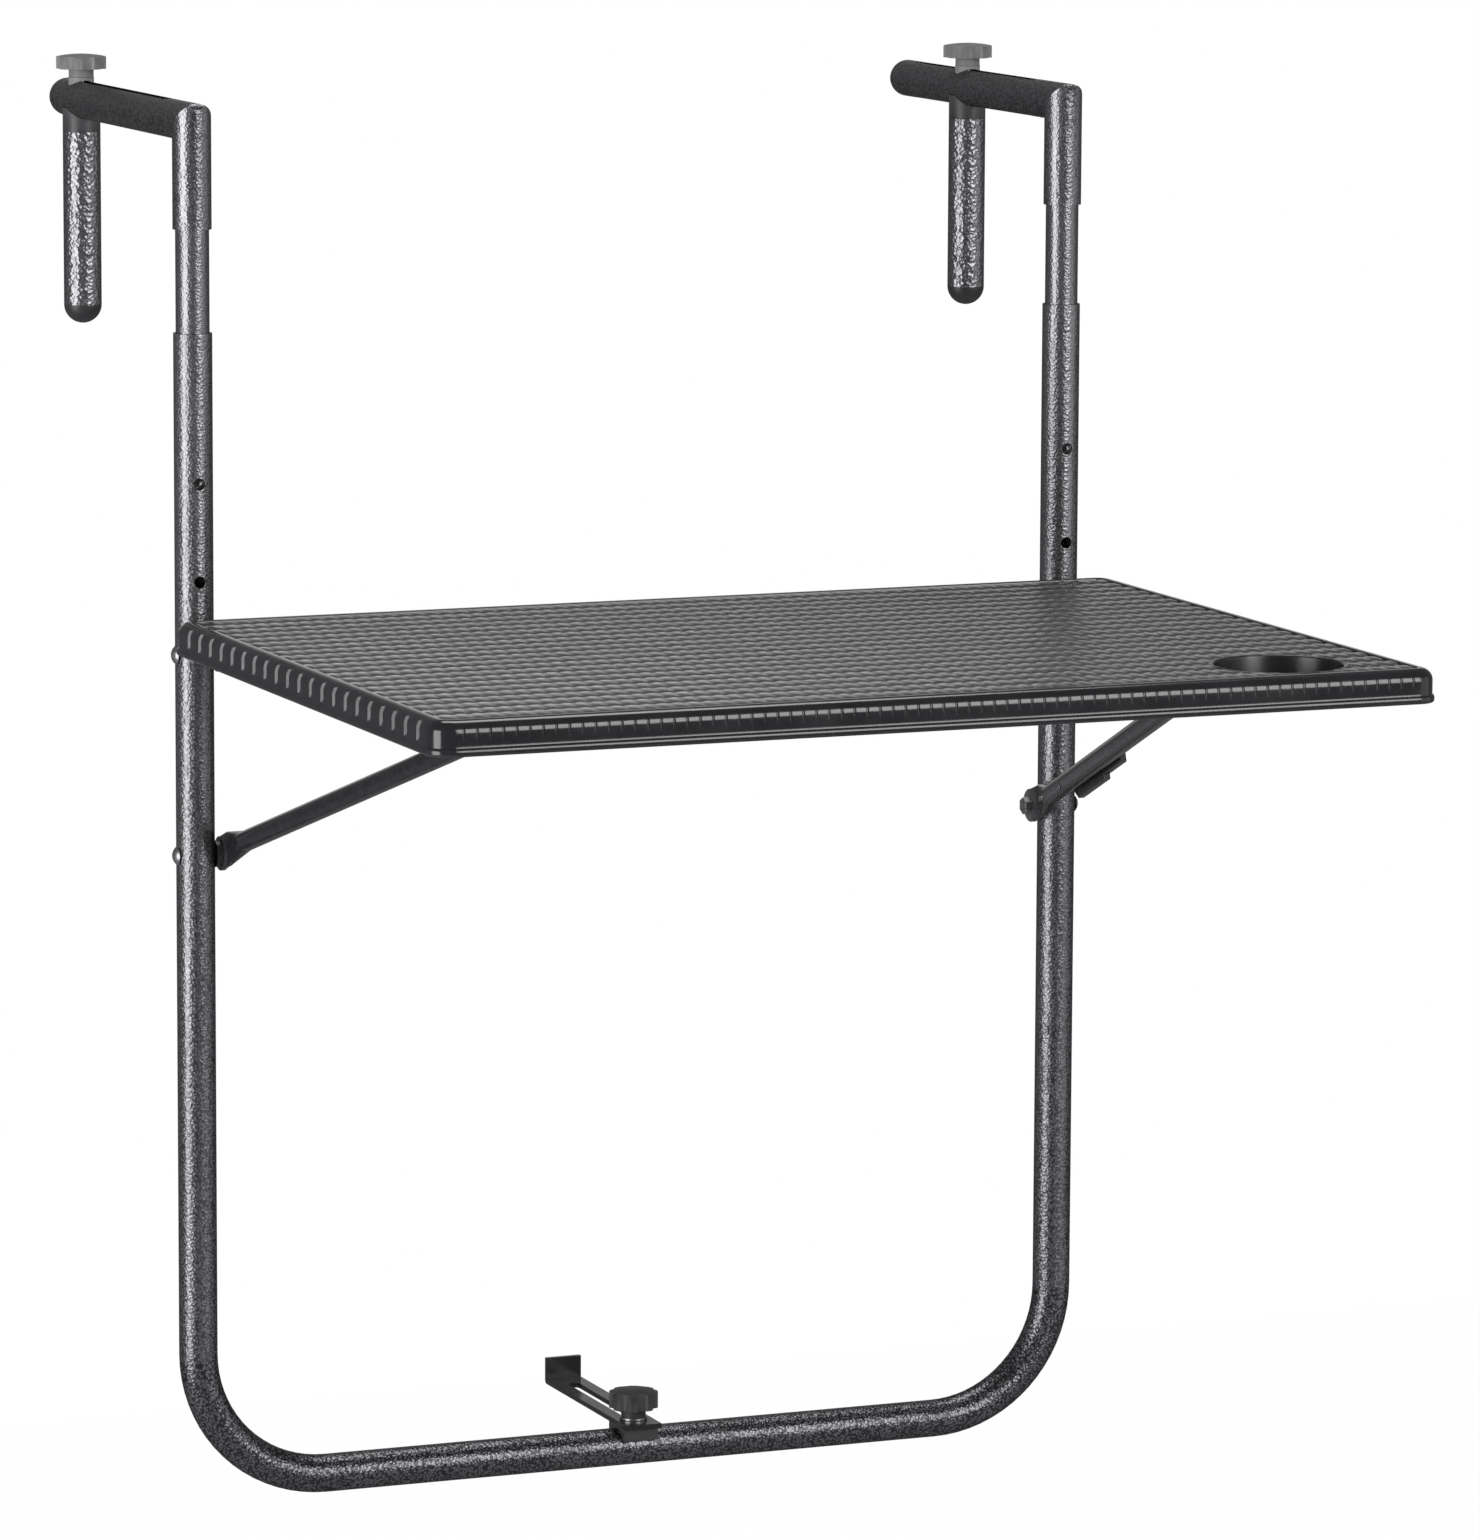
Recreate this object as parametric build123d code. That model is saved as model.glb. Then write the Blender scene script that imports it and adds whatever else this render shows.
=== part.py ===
"""Folding balcony table that hangs on a railing by two adjustable hooks.

Millimetres, +Z up, +X to the right, the table reaches forward along -Y.
The origin is midway between the posts, level with the underside of the hook arms.
"""
import math
import os

from build123d import *

# Tubes of the frame and the hooks
TUBE_OD = 23.0
TUBE_WALL = 1.2
SLIDE_GAP = 0.3
INNER_WALL = 1.2
POST_INSET = 23.0
BEND_RADIUS = 80.0

# Levels, measured down from the railing top
POST_TOP = -112.0
SLEEVE_BOTTOM = -51.0
BUTTON_LEVEL = -200.5
BUTTON_PITCH = 58.0
INNER_TUBE_BOTTOM = -235.0
TABLE_LEVEL = -278.0
HINGE_LEVEL = -302.5
BRACE_DROP = 120.0
BOTTOM_TUBE_LEVEL = -805.0

# Hook arms and drop posts
ARM_LENGTH = 250.0
ELBOW_ROUND = 5.0
ELBOW_CORE = 2.0
MITRE_ANGLE = 45.0
CAP_SPIGOT = 11.0
ARM_SLOT_FRONT = 38.0
ARM_SLOT_MARGIN = 28.0
SCREW_RADIUS = 3.0
SLOT_GAP = 0.3
LEFT_DROP_MARGIN = 38.0
RIGHT_DROP_REACH = 145.0
DROP_BOTTOM = -125.0
DROP_EAR = 5.0
PLUG_HEIGHT = 24.0
COLLAR_HEIGHT = 8.0
SADDLE_WASHER_RADIUS = 7.8
SADDLE_WASHER_HEIGHT = 2.0

# Fits
RUN_GAP = 0.06
SEAT_GAP = 0.1
HOLE_GAP = 0.05

# Knobs
HOOK_KNOB_RADIUS = 15.2
HOOK_KNOB_HEAD = 9.0
HOOK_KNOB_STEM = 5.0
FOOT_KNOB_RADIUS = 15.0
FOOT_KNOB_HEAD = 11.5
FOOT_KNOB_STEM = 5.5
KNOB_STEM_RADIUS = 7.6
KNOB_LOBES = 8
KNOB_SCALLOP_RADIUS = 5.0
KNOB_SCALLOP_DEPTH = 2.0
KNOB_DOME_RADIUS = 75.0
KNOB_ROUND = 2.5
KNOB_ROOF = 3.0

# Snap buttons
BUTTON_RADIUS = 3.2
BUTTON_HOLE_RADIUS = 3.5
BUTTON_PROUD = 1.0
CLIP_WIDTH = 7.0
CLIP_THICKNESS = 0.6
CLIP_BELOW = 14.0
CLIP_ABOVE = 18.0
CLIP_SEAT = 0.02

# Pivot bolts through the posts
BOLT_RADIUS = 3.0
BOLT_HEAD_RADIUS = 5.6
BOLT_HEAD_HEIGHT = 2.8
HINGE_WASHER = 2.0
BRACE_SPACER = 3.4
WASHER_RADIUS = 7.5
SPACER_RADIUS = 8.0
NUT_RADIUS = 5.4
NUT_HEIGHT = 4.8
NUT_SIDES = 6

# Table top
TABLE_WIDTH = 606.0
TABLE_DEPTH = 449.0
TABLE_BACK = -24.4
RIM_DEPTH = 19.5
CORNER_RADIUS = 14.0
BEAD_HEIGHT = 4.5
BEAD_PROUD = 1.2
RIM_ROUND = 7.0
SKIRT_WALL = 3.0
PLATE = 4.0
FIELD_MARGIN = 10.0
FIELD_CORNER = 7.0
FIELD_DEPTH = 1.0
RIB_WALL = 2.4
RIB_DEPTH = 11.0
RIB_POST_MARGIN = 25.0
RIB_COLUMNS = (-82.0, 82.0)
RIB_ROWS = (-170.0, -310.0)
FLUTE_PITCH = 19.5
FLUTE_MARGIN = 28.0
FLUTE_WIDTH = 1.2
FLUTE_DEPTH = 0.8
FLUTE_HEIGHT = 9.0

# Cup holder
CUP_SIDE_MARGIN = 77.0
CUP_FRONT_MARGIN = 54.0
CUP_RADIUS = 37.0
CUP_DEPTH = 16.5
CUP_WALL = 2.2
CUP_RING = 4.0
CUP_FLOOR_ROUND = 2.5

# Openings in the rear skirt, one round each post
NOTCH_INNER = 23.5
NOTCH_OUTER = 16.0

# Hinge lugs
LUG_WIDTH = 6.9
LUG_EYE_RADIUS = 11.0
LUG_REACH = 84.0
LUG_FLANGE_START = 44.0
LUG_FLANGE_WIDTH = 24.0
LUG_FLANGE = 3.0
LUG_NECK = 36.0
LUG_HEEL = 5.0
LUG_SCREW_MARGIN = 10.0
SCREW_SHANK_RADIUS = 1.6
SCREW_HEAD_RADIUS = 3.2
SCREW_HEAD_HEIGHT = 1.8
SCREW_BITE = 2.0

# Braces
BRACE_OD = 12.5
BRACE_WALL = 1.2
FLAT_WIDTH = 20.5
FLAT_THICKNESS = 2.6
FLAT_REACH = 15.0
FLARE_REACH = 38.0
FLARE_INWARD = 3.0
STUB_FORWARD = 310.0
STUB_DROP = 10.9
BRACE_CORNER_INSET = 64.0
BRACE_BEND = 24.0
STUB_END_INSET = 120.0
STUB_SPIGOT = 9.0

# Runners under the table, with the step that holds the brace stubs
RUNNER_INSETS = (111.5, 94.5)
RUNNER_WALL = 3.2
RUNNER_GAP = 0.3
RUNNER_LEAD = 18.0
RUNNER_FRONT_MARGIN = 16.4
RUNNER_RISE = 7.85
STOP_DEPTH = 6.0
STOP_GAP = 0.8
STEP_START = 6.0
STEP_RAMP = 10.0
STEP_FLAT = 6.0
STEP_DEPTH = 3.2

# Catch on the right brace
CATCH_START = 62.0
CATCH_PIVOT = 76.0
CATCH_SHOULDER = 151.0
CATCH_END = 179.0
CATCH_THICKNESS = 4.2
CATCH_TOP = 2.5
CATCH_BOTTOM = 10.5
CATCH_TAB_TOP = 4.5
CATCH_PIVOT_LOW = 2.0
CATCH_GAP = 0.3
RIVET_RADIUS = 2.0
RIVET_HEAD_RADIUS = 3.6
RIVET_HEAD_HEIGHT = 1.2

# Foot bracket
STRIP_WIDTH = 23.0
STRIP_THICKNESS = 3.0
STRIP_FRONT = -18.0
STRIP_REAR = 122.0
LIP_HEIGHT = 16.5
LIP_ROUND = 2.5
STRIP_SLOT_FRONT = -7.0
STRIP_SLOT_REAR = 104.0
FOOT_SLOT_GAP = 0.5
SADDLE_WIDTH = 22.0
SADDLE_LENGTH = 26.0
SADDLE_CROWN = 2.0
SADDLE_WRAP = 6.0
FOOT_WASHER_RADIUS = 8.5
FOOT_WASHER = 1.5

# Sizes that follow from the ones above
TUBE_R = TUBE_OD / 2
BORE_R = TUBE_R - TUBE_WALL
INNER_R = BORE_R - SLIDE_GAP
INNER_BORE_R = INNER_R - INNER_WALL
POST_X = TABLE_WIDTH / 2 - POST_INSET
ARM_AXIS = TUBE_R
ARM_TUBE_END = ARM_LENGTH - TUBE_R
ARM_SLOT_REAR = ARM_LENGTH - ARM_SLOT_MARGIN
LEFT_DROP_REACH = ARM_LENGTH - LEFT_DROP_MARGIN
BRACE_LEVEL = HINGE_LEVEL - BRACE_DROP
RIM_LEVEL = TABLE_LEVEL - RIM_DEPTH
PLATE_LEVEL = TABLE_LEVEL - PLATE
TABLE_FRONT = TABLE_BACK - TABLE_DEPTH
TABLE_MIDDLE = (TABLE_BACK + TABLE_FRONT) / 2
CUP_X = TABLE_WIDTH / 2 - CUP_SIDE_MARGIN
CUP_Y = TABLE_FRONT + CUP_FRONT_MARGIN
RIB_REACH = POST_X - RIB_POST_MARGIN
POST_FACE = POST_X - TUBE_R
POST_OUTSIDE = POST_X + TUBE_R
LUG_OUTSIDE = POST_FACE - HINGE_WASHER - SEAT_GAP
LUG_INSIDE = LUG_OUTSIDE - LUG_WIDTH
FLAT_MIDDLE = POST_FACE - BRACE_SPACER - SEAT_GAP - FLAT_THICKNESS / 2
STUB_LEVEL = HINGE_LEVEL - STUB_DROP
STUB_END = POST_X - STUB_END_INSET
BRACE_CORNER = POST_X - BRACE_CORNER_INSET
RUNNER_RIBS = tuple(POST_X - inset for inset in RUNNER_INSETS)
RUNNER_BACK = STUB_FORWARD - RUNNER_LEAD
RUNNER_FRONT = -TABLE_FRONT - RUNNER_FRONT_MARGIN
BRACE_R = BRACE_OD / 2
BRACE_BORE_R = BRACE_R - BRACE_WALL
STRIP_LEVEL = BOTTOM_TUBE_LEVEL + TUBE_R + SADDLE_CROWN
CLEAR = 2 * TUBE_OD


def block(x0, x1, y0, y1, z0, z1):
    """Box between two opposite corners."""
    centre = Pos((x0 + x1) / 2, (y0 + y1) / 2, (z0 + z1) / 2)
    return centre * Box(abs(x1 - x0), abs(y1 - y0), abs(z1 - z0))


def rod(start, end, radius):
    """Round bar between two points."""
    axis = Vector(*end) - Vector(*start)
    return extrude(Plane(start, z_dir=axis) * Circle(radius), axis.length)


def slot_bar(x, y0, y1, z0, z1, radius):
    """Upright bar with the outline of a slot that runs along Y."""
    straight = block(x - radius, x + radius, y0 + radius, y1 - radius, z0, z1)
    front = rod((x, y0 + radius, z0), (x, y0 + radius, z1), radius)
    rear = rod((x, y1 - radius, z0), (x, y1 - radius, z1), radius)
    return straight + front + rear


def dome(base, direction, radius, height):
    """Shallow round head that stands on a plane."""
    ball_radius = (radius ** 2 + height ** 2) / (2 * height)
    plane = Plane(base, z_dir=direction)
    ball = plane * Pos(0, 0, height - ball_radius) * Sphere(ball_radius)
    keep = plane * Pos(0, 0, height / 2) * Cylinder(radius, height)
    return ball & keep


def end_cap(base, direction, radius, bore, spigot):
    """Domed plug for the end of a tube."""
    plane = Plane(base, z_dir=direction)
    ball = plane * Sphere(radius)
    keep = plane * Pos(0, 0, radius / 2) * Cylinder(radius, radius)
    foot = plane * Pos(0, 0, -spigot / 2) * Cylinder(bore, spigot)
    return (ball & keep) + foot


def knob(x, y, base, stem, head, radius, bore):
    """Star knob on a round stem, bored from below."""
    top = base + stem + head
    body = rod((x, y, base + stem), (x, y, top), radius)
    body = fillet(body.edges().group_by(Axis.Z)[-1], KNOB_ROUND)
    reach = radius + KNOB_SCALLOP_RADIUS - KNOB_SCALLOP_DEPTH
    for place in PolarLocations(reach, KNOB_LOBES):
        cx = x + place.position.X
        cy = y + place.position.Y
        body -= rod((cx, cy, base + stem), (cx, cy, top), KNOB_SCALLOP_RADIUS)
    body &= Pos(x, y, top - KNOB_DOME_RADIUS) * Sphere(KNOB_DOME_RADIUS)
    body += rod((x, y, base), (x, y, base + stem), KNOB_STEM_RADIUS)
    return body - rod((x, y, base), (x, y, top - KNOB_ROOF), bore)


def u_frame():
    """Bent tube with both posts, its cross holes and its button holes."""
    corners = [
        (-POST_X, 0, POST_TOP),
        (-POST_X, 0, BOTTOM_TUBE_LEVEL),
        (POST_X, 0, BOTTOM_TUBE_LEVEL),
        (POST_X, 0, POST_TOP),
    ]
    path = FilletPolyline(*corners, radius=BEND_RADIUS)
    start = Plane(corners[0], z_dir=(0, 0, -1))
    tube = sweep(start * Circle(TUBE_R), path=path)
    tube -= sweep(start * Circle(BORE_R), path=path)
    for side in (-1, 1):
        x = side * POST_X
        for level in (HINGE_LEVEL, BRACE_LEVEL):
            tube -= rod((x - TUBE_OD, 0, level), (x + TUBE_OD, 0, level), BOLT_RADIUS + HOLE_GAP)
        for level in (BUTTON_LEVEL, BUTTON_LEVEL - BUTTON_PITCH):
            tube -= rod((x, 0, level), (x, -TUBE_OD, level), BUTTON_HOLE_RADIUS)
    bolt_end = BOTTOM_TUBE_LEVEL + TUBE_OD
    return tube - rod((0, 0, BOTTOM_TUBE_LEVEL), (0, 0, bolt_end), BOLT_RADIUS + HOLE_GAP)


def pivot_bolt(side, level, inner_end):
    """Dome-headed bolt through a post, along X."""
    outside = (side * POST_OUTSIDE, 0, level)
    shank = rod(outside, (side * inner_end, 0, level), BOLT_RADIUS)
    return shank + dome(outside, (side, 0, 0), BOLT_HEAD_RADIUS, BOLT_HEAD_HEIGHT)


def washer_x(side, x0, x1, level, radius):
    """Washer or nut on a pivot bolt."""
    start = (side * x0, 0, level)
    end = (side * x1, 0, level)
    return rod(start, end, radius) - rod(start, end, BOLT_RADIUS + HOLE_GAP)


def pivot_nut(side, x1, level):
    """Hexagon nut on the inner end of a pivot bolt."""
    start = (side * (x1 - NUT_HEIGHT), 0, level)
    end = (side * x1, 0, level)
    sketch = RegularPolygon(NUT_RADIUS, NUT_SIDES)
    body = extrude(Plane(start, z_dir=(side, 0, 0)) * sketch, NUT_HEIGHT)
    return body - rod(start, end, BOLT_RADIUS + HOLE_GAP)


def hook(side):
    """Sleeve, mitred elbow and slotted arm, welded into one."""
    x = side * POST_X
    top = ARM_AXIS + TUBE_R
    sleeve = rod((x, 0, SLEEVE_BOTTOM), (x, 0, top), TUBE_R)
    arm = rod((x, -TUBE_R, ARM_AXIS), (x, ARM_TUBE_END, ARM_AXIS), TUBE_R)
    size = 2 * ARM_LENGTH
    mitre = Pos(x, 0, ARM_AXIS) * Rot(-MITRE_ANGLE, 0, 0)
    sleeve -= mitre * Pos(0, 0, size / 2) * Box(size, size, size)
    arm -= mitre * Pos(0, 0, -size / 2) * Box(size, size, size)
    body = sleeve + arm
    corner = block(x - TUBE_OD, x + TUBE_OD, -TUBE_OD, ELBOW_ROUND - TUBE_R, top - ELBOW_ROUND, top + TUBE_OD)
    round_y = ELBOW_ROUND - TUBE_R
    round_z = top - ELBOW_ROUND
    corner -= rod((x - CLEAR, round_y, round_z), (x + CLEAR, round_y, round_z), ELBOW_ROUND)
    body -= corner
    body -= rod((x, 0, SLEEVE_BOTTOM), (x, 0, -ELBOW_CORE), INNER_R)
    body -= rod((x, TUBE_R + ELBOW_CORE, ARM_AXIS), (x, ARM_TUBE_END, ARM_AXIS), BORE_R)
    slot_radius = SCREW_RADIUS + SLOT_GAP
    return body - slot_bar(x, ARM_SLOT_FRONT, ARM_SLOT_REAR, -TUBE_R, top + TUBE_R, slot_radius)


def inner_tube(side):
    """Tube that slides in the post, with the hole for its snap button."""
    x = side * POST_X
    bottom = (x, 0, INNER_TUBE_BOTTOM)
    top = (x, 0, -ELBOW_CORE)
    body = rod(bottom, top, INNER_R) - rod(bottom, top, INNER_BORE_R)
    return body - rod((x, 0, BUTTON_LEVEL), (x, -TUBE_OD, BUTTON_LEVEL), BUTTON_HOLE_RADIUS)


def snap_clip(side):
    """Hairpin leaf spring in the inner tube, with the button on its front leaf."""
    x = side * POST_X
    half = CLIP_WIDTH / 2
    outer = math.sqrt(INNER_BORE_R ** 2 - half ** 2) - CLIP_SEAT
    inner = outer - CLIP_THICKNESS
    low = BUTTON_LEVEL - CLIP_BELOW
    high = BUTTON_LEVEL + CLIP_ABOVE
    front = block(x - half, x + half, -outer, -inner, low, high)
    rear = block(x - half, x + half, inner, outer, low, high)
    bow = rod((x - half, 0, high), (x + half, 0, high), outer)
    bow -= rod((x - half, 0, high), (x + half, 0, high), inner)
    bow -= block(x - CLEAR, x + CLEAR, -outer, outer, high - outer, high)
    tip = -TUBE_R - BUTTON_PROUD
    button = rod((x, -inner, BUTTON_LEVEL), (x, tip + BUTTON_PROUD, BUTTON_LEVEL), BUTTON_RADIUS)
    button += dome((x, tip + BUTTON_PROUD, BUTTON_LEVEL), (0, -1, 0), BUTTON_RADIUS, BUTTON_PROUD)
    return front + rear + bow + button


def drop_post(side, reach):
    """Tube that hangs under the arm from the collar of its plug."""
    x = side * POST_X
    low = (x, reach, DROP_BOTTOM + TUBE_R)
    high = (x, reach, -COLLAR_HEIGHT)
    return rod(low, high, TUBE_R) - rod(low, high, BORE_R)


def arm_shape(x):
    """Outline of an arm with the sliding gap round it."""
    return rod((x, 0, ARM_AXIS), (x, ARM_LENGTH, ARM_AXIS), TUBE_R + SEAT_GAP)


def drop_plug(side, reach):
    """Threaded plug in the top of a drop post, with a collar that is coped to the arm."""
    x = side * POST_X
    low = (x, reach, -PLUG_HEIGHT)
    seat = (x, reach, -COLLAR_HEIGHT)
    high = (x, reach, ARM_AXIS - DROP_EAR)
    body = rod(low, seat, BORE_R) + rod(seat, high, TUBE_R)
    body -= rod(low, high, SCREW_RADIUS + HOLE_GAP)
    return body - arm_shape(x)


def saddle_washer(side, reach):
    """Washer with a hollow underside that sits on the arm."""
    x = side * POST_X
    low = (x, reach, ARM_AXIS + DROP_EAR)
    high = (x, reach, ARM_AXIS + TUBE_R + SADDLE_WASHER_HEIGHT)
    body = rod(low, high, SADDLE_WASHER_RADIUS) - rod(low, high, SCREW_RADIUS + HOLE_GAP)
    return body - arm_shape(x)


def hook_knob_base():
    """Level at which a hook knob stands on its washer."""
    return ARM_AXIS + TUBE_R + SADDLE_WASHER_HEIGHT + SEAT_GAP


def clamp_screw(side, reach):
    """Threaded stud from the plug up into the knob."""
    x = side * POST_X
    top = hook_knob_base() + HOOK_KNOB_STEM + HOOK_KNOB_HEAD - KNOB_ROOF - SEAT_GAP
    return rod((x, reach, -PLUG_HEIGHT), (x, reach, top), SCREW_RADIUS)


def rim_outline(inset):
    """Rounded outline of the table, drawn in by an inset."""
    width = TABLE_WIDTH - 2 * inset
    depth = TABLE_DEPTH - 2 * inset
    return Pos(0, TABLE_MIDDLE) * RectangleRounded(width, depth, CORNER_RADIUS - inset)


def field_outline():
    """Outline of the woven field inside the rim."""
    width = TABLE_WIDTH - 2 * FIELD_MARGIN
    depth = TABLE_DEPTH - 2 * FIELD_MARGIN
    return Pos(0, TABLE_MIDDLE) * RectangleRounded(width, depth, FIELD_CORNER)


def runner_rib(x):
    """Rib under the top that runs on a brace stub and steps down in front of it."""
    run = STUB_LEVEL + BRACE_R + RUNNER_GAP
    stop = STUB_FORWARD - BRACE_R - STOP_GAP
    step = STUB_FORWARD + STEP_START
    outline = [
        (RUNNER_BACK, PLATE_LEVEL),
        (RUNNER_BACK, run),
        (stop - STOP_DEPTH, run - STOP_DEPTH),
        (stop, run - STOP_DEPTH),
        (stop, run),
        (step, run),
        (step + STEP_RAMP, run - STEP_DEPTH),
        (step + STEP_RAMP + STEP_FLAT, run - STEP_DEPTH),
        (step + STEP_FLAT + 2 * STEP_RAMP, run),
        (RUNNER_FRONT, run + RUNNER_RISE),
        (RUNNER_FRONT, PLATE_LEVEL),
    ]
    points = [(x - RUNNER_WALL / 2, -forward, level) for forward, level in outline]
    face = make_face(Polyline(*points, close=True))
    return extrude(face, RUNNER_WALL, dir=(1, 0, 0))


def flutes():
    """Narrow upright slits pressed into the sides of the rim."""
    level = RIM_LEVEL + BEAD_HEIGHT
    face = TABLE_WIDTH / 2 - BEAD_PROUD
    count = int((TABLE_DEPTH - 2 * FLUTE_MARGIN) / FLUTE_PITCH)
    cuts = []
    for side in (-1, 1):
        for index in range(count + 1):
            y = TABLE_MIDDLE + (index - count / 2) * FLUTE_PITCH
            y0 = y - FLUTE_WIDTH / 2
            y1 = y + FLUTE_WIDTH / 2
            inner = side * (face - FLUTE_DEPTH)
            cuts.append(block(inner, side * (face + FLUTE_DEPTH), y0, y1, level, level + FLUTE_HEIGHT))
    return cuts


def table_top():
    """Moulded top: rim, plate, cup holder, ribs, runners and post openings."""
    upper = extrude(Pos(0, 0, RIM_LEVEL) * rim_outline(BEAD_PROUD), RIM_DEPTH)
    upper = fillet(upper.edges().group_by(Axis.Z)[-1], RIM_ROUND)
    body = upper + extrude(Pos(0, 0, RIM_LEVEL) * rim_outline(0), BEAD_HEIGHT)
    hollow = rim_outline(BEAD_PROUD + SKIRT_WALL)
    body -= extrude(Pos(0, 0, RIM_LEVEL) * hollow, RIM_DEPTH - PLATE)
    ring = rod((CUP_X, CUP_Y, TABLE_LEVEL - FIELD_DEPTH), (CUP_X, CUP_Y, TABLE_LEVEL), CUP_RADIUS + CUP_RING)
    body -= extrude(Pos(0, 0, TABLE_LEVEL - FIELD_DEPTH) * field_outline(), FIELD_DEPTH) - ring
    rib_level = PLATE_LEVEL - RIB_DEPTH
    inner_back = TABLE_BACK - BEAD_PROUD - SKIRT_WALL / 2
    inner_front = TABLE_FRONT + BEAD_PROUD + SKIRT_WALL / 2
    half = RIB_WALL / 2
    for x in RIB_COLUMNS:
        body += block(x - half, x + half, inner_front, inner_back, rib_level, PLATE_LEVEL)
    for y in RIB_ROWS:
        body += block(-RIB_REACH, RIB_REACH, y - half, y + half, rib_level, PLATE_LEVEL)
    for side in (-1, 1):
        for x in RUNNER_RIBS:
            body += runner_rib(side * x)
    floor = TABLE_LEVEL - CUP_DEPTH
    cup_low = (CUP_X, CUP_Y, floor - CUP_WALL)
    body += rod(cup_low, (CUP_X, CUP_Y, PLATE_LEVEL), CUP_RADIUS + CUP_WALL)
    inside = rod((CUP_X, CUP_Y, floor), (CUP_X, CUP_Y, TABLE_LEVEL), CUP_RADIUS)
    body -= fillet(inside.edges().group_by(Axis.Z)[0], CUP_FLOOR_ROUND)
    for side in (-1, 1):
        inner = side * (POST_X - NOTCH_INNER)
        outer = side * (POST_X + NOTCH_OUTER)
        rear = TABLE_BACK + CORNER_RADIUS
        front = TABLE_BACK - CORNER_RADIUS
        body -= block(inner, outer, front, rear, RIM_LEVEL, PLATE_LEVEL)
        for y in lug_screw_places():
            x = side * lug_screw_x()
            body -= rod((x, y, PLATE_LEVEL), (x, y, PLATE_LEVEL + SCREW_BITE), SCREW_SHANK_RADIUS)
    for cut in flutes():
        body -= cut
    return body


def lug_screw_places():
    """Distances along Y of the two screws of a hinge lug."""
    return (-LUG_FLANGE_START - LUG_SCREW_MARGIN, -LUG_REACH + LUG_SCREW_MARGIN)


def lug_screw_x():
    """Distance of the lug screws from the middle of the table."""
    return LUG_INSIDE - LUG_FLANGE_WIDTH / 2


def hinge_lug(side):
    """Hinge lug with a round eye and a flange that is screwed under the top."""
    x0 = side * LUG_INSIDE
    x1 = side * LUG_OUTSIDE
    outline = [
        (0, HINGE_LEVEL - LUG_EYE_RADIUS),
        (LUG_NECK, HINGE_LEVEL - LUG_HEEL),
        (LUG_REACH, PLATE_LEVEL - LUG_FLANGE),
        (LUG_REACH, PLATE_LEVEL),
        (LUG_NECK, PLATE_LEVEL),
        (0, HINGE_LEVEL + LUG_EYE_RADIUS),
    ]
    points = [(x0, -forward, level) for forward, level in outline]
    web = extrude(make_face(Polyline(*points, close=True)), LUG_WIDTH, dir=(side, 0, 0))
    eye_start = (x0, 0, HINGE_LEVEL)
    eye_end = (x1, 0, HINGE_LEVEL)
    body = web + rod(eye_start, eye_end, LUG_EYE_RADIUS)
    flange_in = side * (LUG_INSIDE - LUG_FLANGE_WIDTH)
    body += block(flange_in, x0, -LUG_REACH, -LUG_FLANGE_START, PLATE_LEVEL - LUG_FLANGE, PLATE_LEVEL)
    body -= rod(eye_start, eye_end, BOLT_RADIUS + RUN_GAP)
    for y in lug_screw_places():
        x = side * lug_screw_x()
        body -= rod((x, y, PLATE_LEVEL - LUG_FLANGE), (x, y, PLATE_LEVEL), SCREW_SHANK_RADIUS)
    return body


def table_screws():
    """Round-headed screws that hold the hinge lugs."""
    screws = []
    for side in (-1, 1):
        for y in lug_screw_places():
            x = side * lug_screw_x()
            seat = (x, y, PLATE_LEVEL - LUG_FLANGE)
            tip = (x, y, PLATE_LEVEL + SCREW_BITE)
            head = dome(seat, (0, 0, -1), SCREW_HEAD_RADIUS, SCREW_HEAD_HEIGHT)
            screws.append(rod(seat, tip, SCREW_SHANK_RADIUS) + head)
    return screws


def brace_points(side):
    """Pivot, start of the round tube, outer corner and stub end of a brace."""
    pivot = Vector(side * FLAT_MIDDLE, 0, BRACE_LEVEL)
    corner = Vector(side * BRACE_CORNER, -STUB_FORWARD, STUB_LEVEL)
    end = Vector(side * STUB_END, -STUB_FORWARD, STUB_LEVEL)
    along = Vector(0, corner.Y - pivot.Y, corner.Z - pivot.Z).normalized()
    start = pivot + along * FLARE_REACH - Vector(side * FLARE_INWARD, 0, 0)
    return pivot, start, corner, end, along


def brace_path(side):
    """Middle line of the round part of a brace."""
    pivot, start, corner, end, along = brace_points(side)
    first = (corner - start).normalized()
    second = (end - corner).normalized()
    turn = math.radians(first.get_angle(second))
    back = BRACE_BEND * math.tan(turn / 2)
    arc_in = corner - first * back
    arc_out = corner + second * back
    toward = (second - first).normalized()
    centre = corner + toward * (BRACE_BEND / math.cos(turn / 2))
    middle = centre - toward * BRACE_BEND
    edges = [Line(start, arc_in), ThreePointArc(arc_in, middle, arc_out), Line(arc_out, end)]
    return Wire(edges), first


def oval_wire(plane, width, thickness):
    """Slot outline as four edges, long sides first."""
    half = (width - thickness) / 2
    edge = thickness / 2
    corners = [(-half, edge), (half, edge), (half, -edge), (-half, -edge)]
    top = Line(corners[0], corners[1])
    right = ThreePointArc(corners[1], (width / 2, 0), corners[2])
    bottom = Line(corners[2], corners[3])
    left = ThreePointArc(corners[3], (-width / 2, 0), corners[0])
    return plane * make_face([top, right, bottom, left])


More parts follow.
